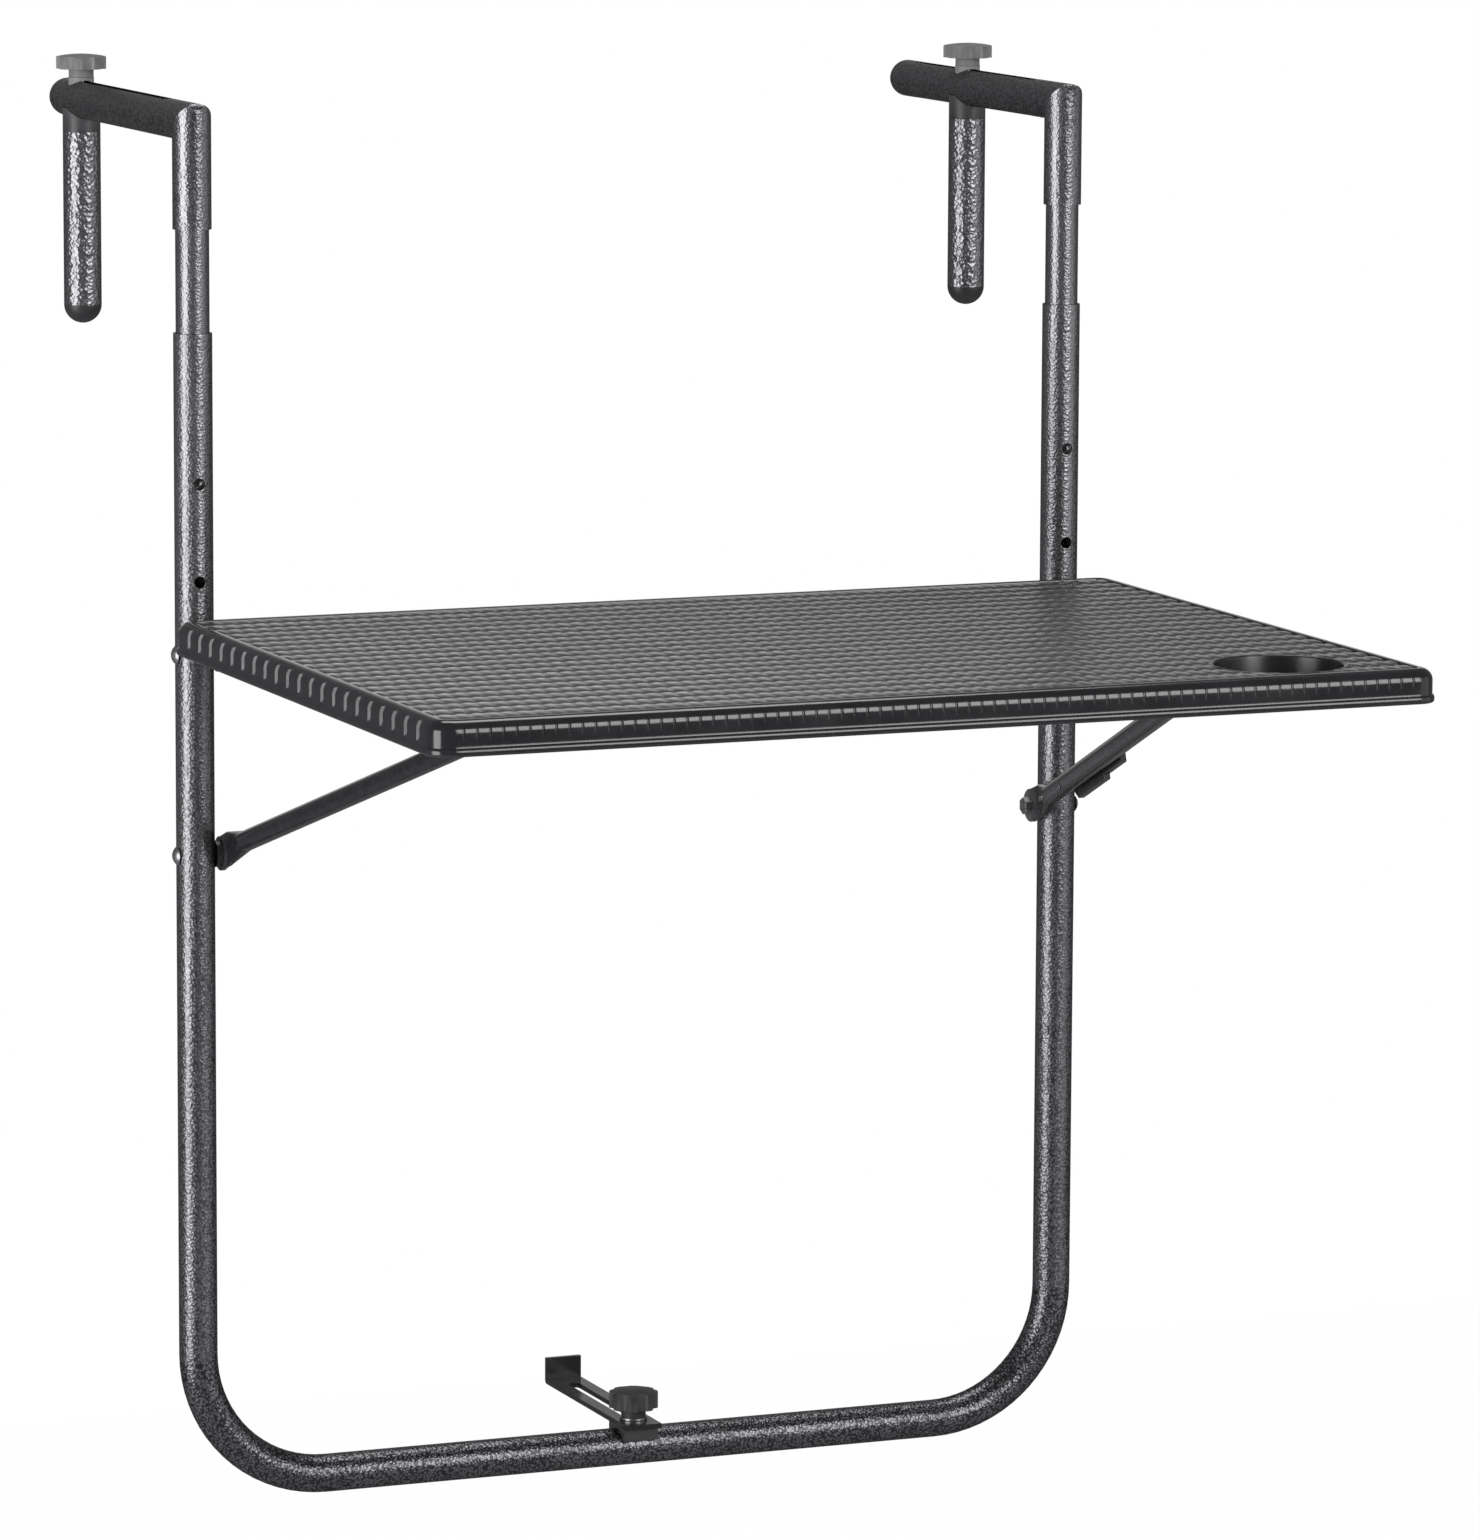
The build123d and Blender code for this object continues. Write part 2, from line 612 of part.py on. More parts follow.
def ring_wire(plane, radius):
    """Circle as four arcs that match the edges of the slot outline."""
    diagonal = radius * math.sqrt(2) / 2
    corners = [(-diagonal, diagonal), (diagonal, diagonal), (diagonal, -diagonal), (-diagonal, -diagonal)]
    top = ThreePointArc(corners[0], (0, radius), corners[1])
    right = ThreePointArc(corners[1], (radius, 0), corners[2])
    bottom = ThreePointArc(corners[2], (0, -radius), corners[3])
    left = ThreePointArc(corners[3], (-radius, 0), corners[0])
    return plane * make_face([top, right, bottom, left])


def brace(side):
    """Brace tube: flattened and pierced at its lower end, bent inward at its upper end."""
    pivot, start, corner, end, along = brace_points(side)
    path, first = brace_path(side)
    across = Vector(1, 0, 0).cross(along)
    tube = sweep(Plane(start, z_dir=first) * Circle(BRACE_R), path=path)
    tube -= sweep(Plane(start, z_dir=first) * Circle(BRACE_BORE_R), path=path)
    flat_end = pivot + along * FLAT_REACH
    flat_plane = Plane(flat_end, x_dir=across, z_dir=along)
    tube_plane = Plane(start, x_dir=across, z_dir=first)
    flare = loft([oval_wire(flat_plane, FLAT_WIDTH, FLAT_THICKNESS), ring_wire(tube_plane, BRACE_R)])
    flat = extrude(oval_wire(flat_plane, FLAT_WIDTH, FLAT_THICKNESS), -FLAT_REACH)
    half = Vector(FLAT_THICKNESS / 2, 0, 0)
    eye = rod(pivot - half, pivot + half, FLAT_WIDTH / 2)
    reach = Vector(FLAT_THICKNESS, 0, 0)
    body = tube + flare + flat + eye
    body -= rod(pivot - reach, pivot + reach, BOLT_RADIUS + RUN_GAP)
    if side > 0:
        low, high = catch_line(BRACE_OD)
        body -= rod(low, high, RIVET_RADIUS + HOLE_GAP)
    return body


def brace_cap(side):
    """Domed plug in the open end of a brace stub."""
    end = brace_points(side)[3]
    return end_cap(end, (-side, 0, 0), BRACE_R, BRACE_BORE_R, STUB_SPIGOT)


def catch_plane():
    """Plane of the catch: along the right brace, across it, and outward."""
    pivot, start, corner, end, along = brace_points(1)
    first = (corner - start).normalized()
    across = Vector(1, 0, 0).cross(along)
    outward = first.cross(across)
    if outward.X < 0:
        outward = outward * -1
    return Plane(start, x_dir=first, z_dir=outward)


def catch_line(reach):
    """Two points on the rivet axis, a reach inward and outward of the brace."""
    plane = catch_plane()
    low = plane.from_local_coords(Vector(CATCH_PIVOT - FLARE_REACH, catch_sign() * CATCH_PIVOT_LOW, -reach))
    high = plane.from_local_coords(Vector(CATCH_PIVOT - FLARE_REACH, catch_sign() * CATCH_PIVOT_LOW, reach))
    return low, high


def catch_sign():
    """Which way along the catch plane's Y axis is down."""
    return -1 if catch_plane().y_dir.Z > 0 else 1


def brace_catch():
    """Stepped lever on the outer side of the right brace, with a thin finger tab."""
    down = catch_sign()
    plane = catch_plane()
    outline = [
        (CATCH_START, -CATCH_TOP),
        (CATCH_SHOULDER, -CATCH_TOP),
        (CATCH_SHOULDER, CATCH_TAB_TOP),
        (CATCH_END, CATCH_TAB_TOP),
        (CATCH_END, CATCH_BOTTOM),
        (CATCH_START + CATCH_BOTTOM, CATCH_BOTTOM),
        (CATCH_START, CATCH_TOP),
    ]
    points = [(along - FLARE_REACH, down * drop) for along, drop in outline]
    face = plane.offset(BRACE_R + CATCH_GAP) * make_face(Polyline(*points, close=True))
    low, high = catch_line(BRACE_OD + CATCH_THICKNESS)
    return extrude(face, CATCH_THICKNESS, dir=plane.z_dir) - rod(low, high, RIVET_RADIUS + RUN_GAP)


def catch_rivet():
    """Rivet that holds the catch on the brace."""
    plane = catch_plane()
    outside = BRACE_R + 2 * CATCH_GAP + CATCH_THICKNESS
    inside = catch_line(BRACE_R)[0]
    head = catch_line(outside)[1]
    body = rod(inside, head, RIVET_RADIUS)
    body += dome(head, plane.z_dir, RIVET_HEAD_RADIUS, RIVET_HEAD_HEIGHT)
    return body + dome(inside, plane.z_dir * -1, RIVET_HEAD_RADIUS, RIVET_HEAD_HEIGHT)


def foot_saddle():
    """Saddle that seats the flat strip on the round bottom tube."""
    half_x = SADDLE_WIDTH / 2
    half_y = SADDLE_LENGTH / 2
    low = BOTTOM_TUBE_LEVEL + TUBE_R - SADDLE_WRAP
    body = block(-half_x, half_x, -half_y, half_y, low, STRIP_LEVEL)
    body -= rod((-CLEAR, 0, BOTTOM_TUBE_LEVEL), (CLEAR, 0, BOTTOM_TUBE_LEVEL), TUBE_R + HOLE_GAP)
    return body - rod((0, 0, BOTTOM_TUBE_LEVEL), (0, 0, STRIP_LEVEL), BOLT_RADIUS + HOLE_GAP)


def foot_strip():
    """Slotted strip with its rear end turned up."""
    half = STRIP_WIDTH / 2
    low = STRIP_LEVEL + SEAT_GAP
    top = low + STRIP_THICKNESS
    body = block(-half, half, STRIP_FRONT, STRIP_REAR, low, top)
    body += block(-half, half, STRIP_REAR - STRIP_THICKNESS, STRIP_REAR, low, low + LIP_HEIGHT)
    bend = body.edges().filter_by(Axis.X).filter_by_position(Axis.Y, STRIP_REAR, STRIP_REAR)
    body = fillet(bend.sort_by(Axis.Z)[0], LIP_ROUND)
    slot_radius = BOLT_RADIUS + FOOT_SLOT_GAP
    return body - slot_bar(0, STRIP_SLOT_FRONT, STRIP_SLOT_REAR, low - STRIP_THICKNESS, top + STRIP_THICKNESS,
                           slot_radius)


def foot_washer_level():
    """Underside of the washer that lies on the strip."""
    return STRIP_LEVEL + STRIP_THICKNESS + 2 * SEAT_GAP


def foot_washer():
    """Washer between the strip and the foot knob."""
    low = (0, 0, foot_washer_level())
    high = (0, 0, foot_washer_level() + FOOT_WASHER)
    return rod(low, high, FOOT_WASHER_RADIUS) - rod(low, high, BOLT_RADIUS + HOLE_GAP)


def foot_knob_base():
    """Level at which the foot knob stands on its washer."""
    return foot_washer_level() + FOOT_WASHER + SEAT_GAP


def foot_bolt():
    """Stud welded into the bottom tube that carries the foot bracket."""
    top = foot_knob_base() + FOOT_KNOB_STEM + FOOT_KNOB_HEAD - KNOB_ROOF - SEAT_GAP
    return rod((0, 0, BOTTOM_TUBE_LEVEL + BORE_R), (0, 0, top), BOLT_RADIUS)


def build():
    """All nodes by name."""
    nut_hinge = LUG_INSIDE - SEAT_GAP
    nut_brace = FLAT_MIDDLE - FLAT_THICKNESS / 2 - SEAT_GAP
    sides = (-1, 1)
    spacer_end = POST_FACE - BRACE_SPACER
    washer_end = POST_FACE - HINGE_WASHER
    nodes = {
        "u_frame": u_frame(),
        "hinge_bolts": [pivot_bolt(s, HINGE_LEVEL, nut_hinge - NUT_HEIGHT) for s in sides],
        "brace_bolts": [pivot_bolt(s, BRACE_LEVEL, nut_brace - NUT_HEIGHT) for s in sides],
        "hinge_washers": [washer_x(s, washer_end, POST_FACE, HINGE_LEVEL, WASHER_RADIUS) for s in sides],
        "brace_spacers": [washer_x(s, spacer_end, POST_FACE, BRACE_LEVEL, SPACER_RADIUS) for s in sides],
        "pivot_nuts": [pivot_nut(s, x, level) for s in sides
                       for x, level in ((nut_hinge, HINGE_LEVEL), (nut_brace, BRACE_LEVEL))],
        "foot_saddle": foot_saddle(),
        "foot_bolt": foot_bolt(),
        "foot_washer": foot_washer(),
        "foot_strip": foot_strip(),
        "foot_knob": knob(0, 0, foot_knob_base(), FOOT_KNOB_STEM, FOOT_KNOB_HEAD, FOOT_KNOB_RADIUS,
                          BOLT_RADIUS + RUN_GAP),
        "table_top": table_top(),
        "table_screws": table_screws(),
        "brace_catch": brace_catch(),
        "catch_rivet": catch_rivet(),
    }
    for name, side, reach in (("left", -1, LEFT_DROP_REACH), ("right", 1, RIGHT_DROP_REACH)):
        x = side * POST_X
        nodes[name + "_hinge_lug"] = hinge_lug(side)
        nodes[name + "_brace"] = brace(side)
        nodes[name + "_brace_cap"] = brace_cap(side)
        nodes[name + "_hook"] = hook(side)
        nodes[name + "_arm_cap"] = end_cap((x, ARM_TUBE_END, ARM_AXIS), (0, 1, 0), TUBE_R, BORE_R, CAP_SPIGOT)
        nodes[name + "_inner_tube"] = inner_tube(side)
        nodes[name + "_snap_clip"] = snap_clip(side)
        nodes[name + "_drop_post"] = drop_post(side, reach)
        nodes[name + "_drop_plug"] = drop_plug(side, reach)
        nodes[name + "_drop_cap"] = end_cap((x, reach, DROP_BOTTOM + TUBE_R), (0, 0, -1), TUBE_R, BORE_R,
                                            CAP_SPIGOT)
        nodes[name + "_clamp_screw"] = clamp_screw(side, reach)
        nodes[name + "_saddle_washer"] = saddle_washer(side, reach)
        nodes[name + "_hook_knob"] = knob(x, reach, hook_knob_base(), HOOK_KNOB_STEM, HOOK_KNOB_HEAD,
                                          HOOK_KNOB_RADIUS, SCREW_RADIUS + RUN_GAP)
    return nodes


os.makedirs("parts", exist_ok=True)
for node, shape in build().items():
    solids = shape if isinstance(shape, list) else [shape]
    bodies = [solid for item in solids for solid in item.solids()]
    whole = bodies[0] if len(bodies) == 1 else Compound(children=bodies)
    export_step(whole, f"parts/{node}.step")
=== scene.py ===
"""Looks of the folding balcony table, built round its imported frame.

Metres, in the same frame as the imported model: +Z is up, +X is to the right, and the table reaches
forward along -Y. The classes of the table's own pieces hold their sizes in millimetres.
"""
import logging
import math
from dataclasses import dataclass
from enum import Enum
from typing import NamedTuple, Sequence

import bmesh
import bpy
import numpy as np
from mathutils import Matrix, Vector


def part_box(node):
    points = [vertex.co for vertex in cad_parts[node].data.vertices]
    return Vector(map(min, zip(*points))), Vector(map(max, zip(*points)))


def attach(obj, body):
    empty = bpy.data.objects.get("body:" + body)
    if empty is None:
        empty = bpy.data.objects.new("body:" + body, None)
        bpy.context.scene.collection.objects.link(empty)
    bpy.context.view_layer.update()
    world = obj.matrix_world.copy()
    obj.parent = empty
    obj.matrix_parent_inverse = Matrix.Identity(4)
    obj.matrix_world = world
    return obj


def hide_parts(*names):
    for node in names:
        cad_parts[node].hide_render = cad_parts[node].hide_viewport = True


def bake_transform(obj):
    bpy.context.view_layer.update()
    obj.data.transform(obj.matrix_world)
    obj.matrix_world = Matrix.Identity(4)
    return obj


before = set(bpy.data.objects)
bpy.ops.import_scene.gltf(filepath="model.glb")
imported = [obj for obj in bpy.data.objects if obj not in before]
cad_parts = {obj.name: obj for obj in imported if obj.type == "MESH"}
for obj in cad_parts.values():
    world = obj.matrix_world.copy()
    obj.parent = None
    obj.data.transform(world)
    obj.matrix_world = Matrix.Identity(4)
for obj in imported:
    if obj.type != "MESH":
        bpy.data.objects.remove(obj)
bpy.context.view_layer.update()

LOG = logging.getLogger("balcony_table")
MM = 0.001

Colour = tuple[float, float, float]
Triple = tuple[float, float, float]
Span = tuple[float, float]
Outline = tuple[tuple[float, float], ...]
Socket = bpy.types.NodeSocket
Mesh = bmesh.types.BMesh
Vert = bmesh.types.BMVert
Face = bmesh.types.BMFace

WHITE: Colour = (1.0, 1.0, 1.0)
FULL: Span = (0.0, 1.0)


class Grain(Enum):
    """What the skin of a finish looks like close up."""

    HAMMERED = "hammered"
    MOULDED = "moulded"
    SATIN = "satin"
    PLATED = "plated"


class Edge(Enum):
    """Edges of the table top, which carry different marks."""

    FRONT = "front"
    BACK = "back"
    LEFT = "left"
    RIGHT = "right"


class Side(Enum):
    """Side of the table as seen from its front, with the sign of its X."""

    LEFT = -1
    RIGHT = 1

    @property
    def label(self) -> str:
        """First word of the names of the nodes on this side."""
        return self.name.lower()


class Join(Enum):
    """How two values become one."""

    LARGER = "MAXIMUM"
    PRODUCT = "MULTIPLY"


class Glow(Enum):
    """What an even light shines from."""

    ROOM = "ShaderNodeBackground"
    SURFACE = "ShaderNodeEmission"


class Nodes:
    """Lays out the nodes of one tree."""

    def __init__(self, tree: bpy.types.NodeTree) -> None:
        """Start with an empty tree."""
        self.tree = tree
        self.tree.nodes.clear()

    def add(self, kind: str) -> bpy.types.Node:
        """Add a node of a kind."""
        return self.tree.nodes.new(kind)

    def link(self, source: Socket, target: Socket) -> None:
        """Join two sockets."""
        self.tree.links.new(source, target)

    def spread(self, value: Socket, source: Span, target: Span) -> Socket:
        """Bring a value from one range to another, with its ends held.

        Args:
            value: Value to bring over.
            source: Lowest and highest value read.
            target: Values given for those.

        Returns:
            Value socket.
        """
        node = self.add("ShaderNodeMapRange")
        node.inputs["From Min"].default_value, node.inputs["From Max"].default_value = source
        node.inputs["To Min"].default_value, node.inputs["To Max"].default_value = target
        self.link(value, node.inputs["Value"])
        return node.outputs["Result"]

    def combined(self, how: Join, first: Socket, second: Socket) -> Socket:
        """Combine two values.

        Args:
            how: How they become one.
            first: One value.
            second: The other value.

        Returns:
            Value socket.
        """
        node = self.add("ShaderNodeMath")
        node.operation = how.value
        self.link(first, node.inputs[0])
        self.link(second, node.inputs[1])
        return node.outputs[0]

    def glow(self, kind: Glow, colour: Colour, strength: float) -> Socket:
        """Even light of a colour.

        Args:
            kind: What it shines from.
            colour: Colour of the light.
            strength: Strength, where 1 is white.

        Returns:
            Shader socket.
        """
        node = self.add(kind.value)
        node.inputs["Color"].default_value = (*colour, 1.0)
        node.inputs["Strength"].default_value = strength
        return node.outputs[0]

    def blended(self, share: Socket, first: Socket, second: Socket) -> Socket:
        """Blend two shaders.

        Args:
            share: Share of the second one.
            first: Shader at 0.
            second: Shader at 1.

        Returns:
            Shader socket.
        """
        node = self.add("ShaderNodeMixShader")
        self.link(share, node.inputs["Fac"])
        self.link(first, node.inputs[1])
        self.link(second, node.inputs[2])
        return node.outputs["Shader"]


class Bench(Nodes):
    """Lays out the nodes of one material."""

    CELL_SMOOTHNESS = 0.3
    EDGE_SAMPLES = 4

    def __init__(self, name: str) -> None:
        """Start a material with an empty principled surface.

        Args:
            name: Name of the material.
        """
        self.material = bpy.data.materials.new(name)
        self.material.use_nodes = True
        super().__init__(self.material.node_tree)
        self.output = self.add("ShaderNodeOutputMaterial")
        self.surface = self.add("ShaderNodeBsdfPrincipled")
        self.link(self.surface.outputs["BSDF"], self.output.inputs["Surface"])
        self.place = self.add("ShaderNodeTexCoord").outputs["Object"]

    def stretched(self, stretch: Sequence[float]) -> Socket:
        """Coordinates that are drawn out along the axes.

        Args:
            stretch: Factor for each axis.

        Returns:
            Vector socket.
        """
        mapping = self.add("ShaderNodeMapping")
        mapping.inputs["Scale"].default_value = stretch
        self.link(self.place, mapping.inputs["Vector"])
        return mapping.outputs["Vector"]

    def noise(self, size: float, detail: float, stretch: Sequence[float] = (1, 1, 1)) -> Socket:
        """Cloudy noise.

        Args:
            size: Size of its features in metres.
            detail: Levels of finer noise.
            stretch: Factor for each axis.

        Returns:
            Value socket from 0 to 1.
        """
        node = self.add("ShaderNodeTexNoise")
        node.inputs["Scale"].default_value = 1 / size
        node.inputs["Detail"].default_value = detail
        self.link(self.stretched(stretch), node.inputs["Vector"])
        return node.outputs["Fac"]

    def cells(self, size: float) -> Socket:
        """Rounded cells, low at their middles.

        Args:
            size: Width of a cell in metres.

        Returns:
            Value socket.
        """
        node = self.add("ShaderNodeTexVoronoi")
        node.feature = "SMOOTH_F1"
        node.inputs["Scale"].default_value = 1 / size
        node.inputs["Smoothness"].default_value = self.CELL_SMOOTHNESS
        self.link(self.place, node.inputs["Vector"])
        return node.outputs["Distance"]

    def mixed(self, factor: Socket, first: Socket | Colour, second: Socket | Colour) -> Socket:
        """Mix two colours.

        Args:
            factor: Share of the second one.
            first: Colour at 0.
            second: Colour at 1.

        Returns:
            Colour socket.
        """
        node = self.add("ShaderNodeMix")
        node.data_type = "RGBA"
        self.link(factor, node.inputs["Factor"])
        for value, key in ((first, "A"), (second, "B")):
            socket = next(s for s in node.inputs if s.name == key and s.type == "RGBA")
            if isinstance(value, tuple):
                socket.default_value = (*value, 1.0)
            else:
                self.link(value, socket)
        return next(s for s in node.outputs if s.type == "RGBA")

    def weighted(self, parts: Sequence[tuple[Socket, float]]) -> Socket:
        """Weighted sum of values.

        Args:
            parts: Values with their weights.

        Returns:
            Value socket.
        """
        total = None
        for value, weight in parts:
            node = self.add("ShaderNodeMath")
            node.operation = "MULTIPLY_ADD"
            self.link(value, node.inputs[0])
            node.inputs[1].default_value = weight
            node.inputs[2].default_value = 0.0
            if total is not None:
                self.link(total, node.inputs[2])
            total = node.outputs[0]
        return total

    def raised(self, height: Socket, strength: float, depth: float, edge: float) -> None:
        """Give the surface a relief on top of softly rounded edges.

        Args:
            height: Height from 0 to 1.
            strength: How much of the relief shows.
            depth: Real depth of the relief in metres.
            edge: Radius that sharp edges are softened to, in metres.
        """
        soft = self.add("ShaderNodeBevel")
        soft.samples = self.EDGE_SAMPLES
        soft.inputs["Radius"].default_value = edge
        bump = self.add("ShaderNodeBump")
        bump.inputs["Strength"].default_value = strength
        bump.inputs["Distance"].default_value = depth
        self.link(height, bump.inputs["Height"])
        self.link(soft.outputs["Normal"], bump.inputs["Normal"])
        self.link(bump.outputs["Normal"], self.surface.inputs["Normal"])


@dataclass(frozen=True)
class Finish:
    """Colours, gloss and grain of one material of the table.

    The values in capitals are shared by all finishes. They are sizes of patches, in metres or as
    multiples of the grain's size, shares in which patterns are summed, and ranges of the sums.
    """

    name: str
    grain: Grain
    dark: Colour
    light: Colour
    worn: Colour
    rough: Span
    size: float
    relief: float
    metallic: float = 0.0
    specular: float = 0.5
    tint: float = 1.0
    coat: float = 0.0
    coat_rough: float = 0.1
    edge: float = 0.4 * MM

    CLOUD_SIZE = 45 * MM
    CLOUD_SHARE = 0.25
    SPECK_SHARE = 0.75
    SHADE_RANGE = (0.28, 0.68)
    RUB_SIZE = 6 * MM
    RUB_SHARE = 0.06
    WEAR_RANGE = (0.56, 0.66)
    WEAR_MOST = 0.7
    SHEEN_SIZE = 18 * MM
    SHEEN_SHARE = 0.6
    SHEEN_SPECK = 0.4
    SHEEN_RANGE = (0.3, 0.7)
    RELIEF_DEPTH = 0.4
    FINE_SIZE = 0.6
    FINE_HEIGHT = 0.3
    CELL_SPOTS = -0.8
    FINE_SPOTS = 0.7
    SPOT_RANGE = (-0.22, 0.2)
    PLATING_STRETCH = (1.0, 1.0, 0.15)
    SATIN_SPECK = 4
    SCUFF_SIZE = 9 * MM
    SCUFF_STRETCH = (0.35, 1.0, 1.0)
    SCUFF_SHARE = 0.2
    SAND_SHARE = 0.8

    def material(self) -> bpy.types.Material:
        """Build the material.

        Returns:
            The material, ready to be put on a mesh.
        """
        bench = Bench(self.name)
        shader = bench.surface.inputs
        shader["Metallic"].default_value = self.metallic
        shader["Specular IOR Level"].default_value = self.specular
        shader["Specular Tint"].default_value = (self.tint, self.tint, self.tint, 1.0)
        shader["Coat Weight"].default_value = self.coat
        shader["Coat Roughness"].default_value = self.coat_rough
        height, speck = self.skin(bench)
        bench.link(self.colour(bench, speck), shader["Base Color"])
        sheen = bench.noise(self.SHEEN_SIZE, detail=4.0)
        patches = bench.weighted(((sheen, self.SHEEN_SHARE), (speck, self.SHEEN_SPECK)))
        bench.link(bench.spread(patches, self.SHEEN_RANGE, self.rough), shader["Roughness"])
        bench.raised(height, self.relief, self.size * self.RELIEF_DEPTH, self.edge)
        return bench.material

    def colour(self, bench: Bench, speck: Socket) -> Socket:
        """Mottled colour that is rubbed pale on the edges.

        Args:
            bench: Bench of the material.
            speck: Speckle of the grain.

        Returns:
            Colour socket.
        """
        cloud = bench.noise(self.CLOUD_SIZE, detail=3.0)
        shade = bench.weighted(((speck, self.SPECK_SHARE), (cloud, self.CLOUD_SHARE)))
        paint = bench.mixed(bench.spread(shade, self.SHADE_RANGE, FULL), self.dark, self.light)
        sharp = bench.add("ShaderNodeNewGeometry").outputs["Pointiness"]
        patchy = bench.noise(self.RUB_SIZE, detail=4.0)
        rub = bench.weighted(((sharp, 1.0), (patchy, self.RUB_SHARE)))
        wear = bench.spread(rub, self.WEAR_RANGE, (0.0, self.WEAR_MOST))
        return bench.mixed(wear, paint, self.worn)

    def skin(self, bench: Bench) -> tuple[Socket, Socket]:
        """Relief and speckle of the grain.

        Args:
            bench: Bench of the material.

        Returns:
            Height and speckle, both from 0 to 1.
        """
        if self.grain is Grain.HAMMERED:
            cells = bench.cells(self.size)
            fine = bench.noise(self.size * self.FINE_SIZE, detail=1.0)
            spots = bench.weighted(((cells, self.CELL_SPOTS), (fine, self.FINE_SPOTS)))
            height = bench.weighted(((cells, 1.0), (fine, self.FINE_HEIGHT)))
            return height, bench.spread(spots, self.SPOT_RANGE, FULL)
        if self.grain is Grain.PLATED:
            lines = bench.noise(self.size, detail=3.0, stretch=self.PLATING_STRETCH)
            return lines, lines
        if self.grain is Grain.SATIN:
            peel = bench.noise(self.size, detail=2.0)
            return peel, bench.noise(self.size * self.SATIN_SPECK, detail=3.0)
        sand = bench.noise(self.size, detail=3.0)
        scuff = bench.noise(self.SCUFF_SIZE, detail=5.0, stretch=self.SCUFF_STRETCH)
        return bench.weighted(((sand, self.SAND_SHARE), (scuff, self.SCUFF_SHARE))), scuff


TUBE_PAINT = Finish(
    "tube_paint", Grain.HAMMERED, dark=(0.060, 0.061, 0.065), light=(0.240, 0.240, 0.249),
    worn=(0.32, 0.32, 0.33), rough=(0.25, 0.36), size=1.6 * MM, relief=0.34,
    metallic=0.85, specular=0.3, tint=0.35,
)
DROP_PAINT = Finish(
    "drop_paint", Grain.HAMMERED, dark=(0.035, 0.036, 0.039), light=(0.240, 0.240, 0.250),
    worn=(0.30, 0.30, 0.31), rough=(0.22, 0.34), size=2.3 * MM, relief=0.54,
    metallic=0.85, specular=0.3, tint=0.35,
)
SLIDE_PAINT = Finish(
    "slide_paint", Grain.HAMMERED, dark=(0.075, 0.076, 0.080), light=(0.220, 0.220, 0.229),
    worn=(0.30, 0.30, 0.31), rough=(0.25, 0.37), size=1.4 * MM, relief=0.32,
    metallic=0.85, specular=0.3, tint=0.35,
)
CAP_PLASTIC = Finish(
    "cap_plastic", Grain.MOULDED, dark=(0.022, 0.022, 0.024), light=(0.044, 0.044, 0.047),
    worn=(0.11, 0.11, 0.115), rough=(0.34, 0.50), size=0.5 * MM, relief=0.15,
    specular=0.45,
)
BRACE_PAINT = Finish(
    "brace_paint", Grain.SATIN, dark=(0.016, 0.016, 0.018), light=(0.034, 0.034, 0.037),
    worn=(0.18, 0.18, 0.19), rough=(0.14, 0.24), size=1.2 * MM, relief=0.08,
    specular=0.35,
)
STRIP_PAINT = Finish(
    "strip_paint", Grain.SATIN, dark=(0.010, 0.010, 0.011), light=(0.022, 0.022, 0.024),
    worn=(0.030, 0.030, 0.032), rough=(0.16, 0.26), size=1.6 * MM, relief=0.06,
    specular=0.25,
)
TABLE_PLASTIC = Finish(
    "table_plastic", Grain.MOULDED, dark=(0.014, 0.013, 0.015), light=(0.026, 0.024, 0.028),
    worn=(0.12, 0.115, 0.125), rough=(0.12, 0.20), size=0.5 * MM, relief=0.08,
    specular=0.7,
)
# Pale paint for the steep walls of the rim's slits: a painted highlight for the light those walls
# catch, not the plastic's own colour.
SLIT_HIGHLIGHT_PLASTIC = Finish(
    "slit_highlight_plastic", Grain.MOULDED, dark=(0.40, 0.39, 0.40), light=(0.58, 0.57, 0.58),
    worn=(0.62, 0.62, 0.62), rough=(0.30, 0.45), size=0.5 * MM, relief=0.08,
    specular=0.6,
)
FIELD_PLASTIC = Finish(
    "field_plastic", Grain.MOULDED, dark=(0.020, 0.018, 0.020), light=(0.040, 0.036, 0.040),
    worn=(0.14, 0.13, 0.14), rough=(0.24, 0.36), size=0.5 * MM, relief=0.16,
    specular=1.0, coat=0.3, coat_rough=0.3,
)
CUP_PLASTIC = Finish(
    "cup_plastic", Grain.MOULDED, dark=(0.012, 0.011, 0.012), light=(0.022, 0.021, 0.023),
    worn=(0.09, 0.088, 0.095), rough=(0.26, 0.36), size=0.5 * MM, relief=0.05,
    specular=0.8,
)
KNOB_PLASTIC = Finish(
    "knob_plastic", Grain.MOULDED, dark=(0.17, 0.168, 0.172), light=(0.26, 0.258, 0.262),
    worn=(0.36, 0.36, 0.365), rough=(0.45, 0.62), size=0.45 * MM, relief=0.22,
    specular=0.4,
)
FOOT_KNOB_PLASTIC = Finish(
    "foot_knob_plastic", Grain.MOULDED, dark=(0.018, 0.018, 0.019), light=(0.040, 0.040, 0.042),
    worn=(0.11, 0.11, 0.115), rough=(0.42, 0.58), size=0.45 * MM, relief=0.22,
    specular=0.4,
)
BLACK_PLASTIC = Finish(
    "black_plastic", Grain.MOULDED, dark=(0.009, 0.009, 0.010), light=(0.020, 0.020, 0.021),
    worn=(0.07, 0.07, 0.074), rough=(0.30, 0.48), size=0.45 * MM, relief=0.15,
    specular=0.45,
)
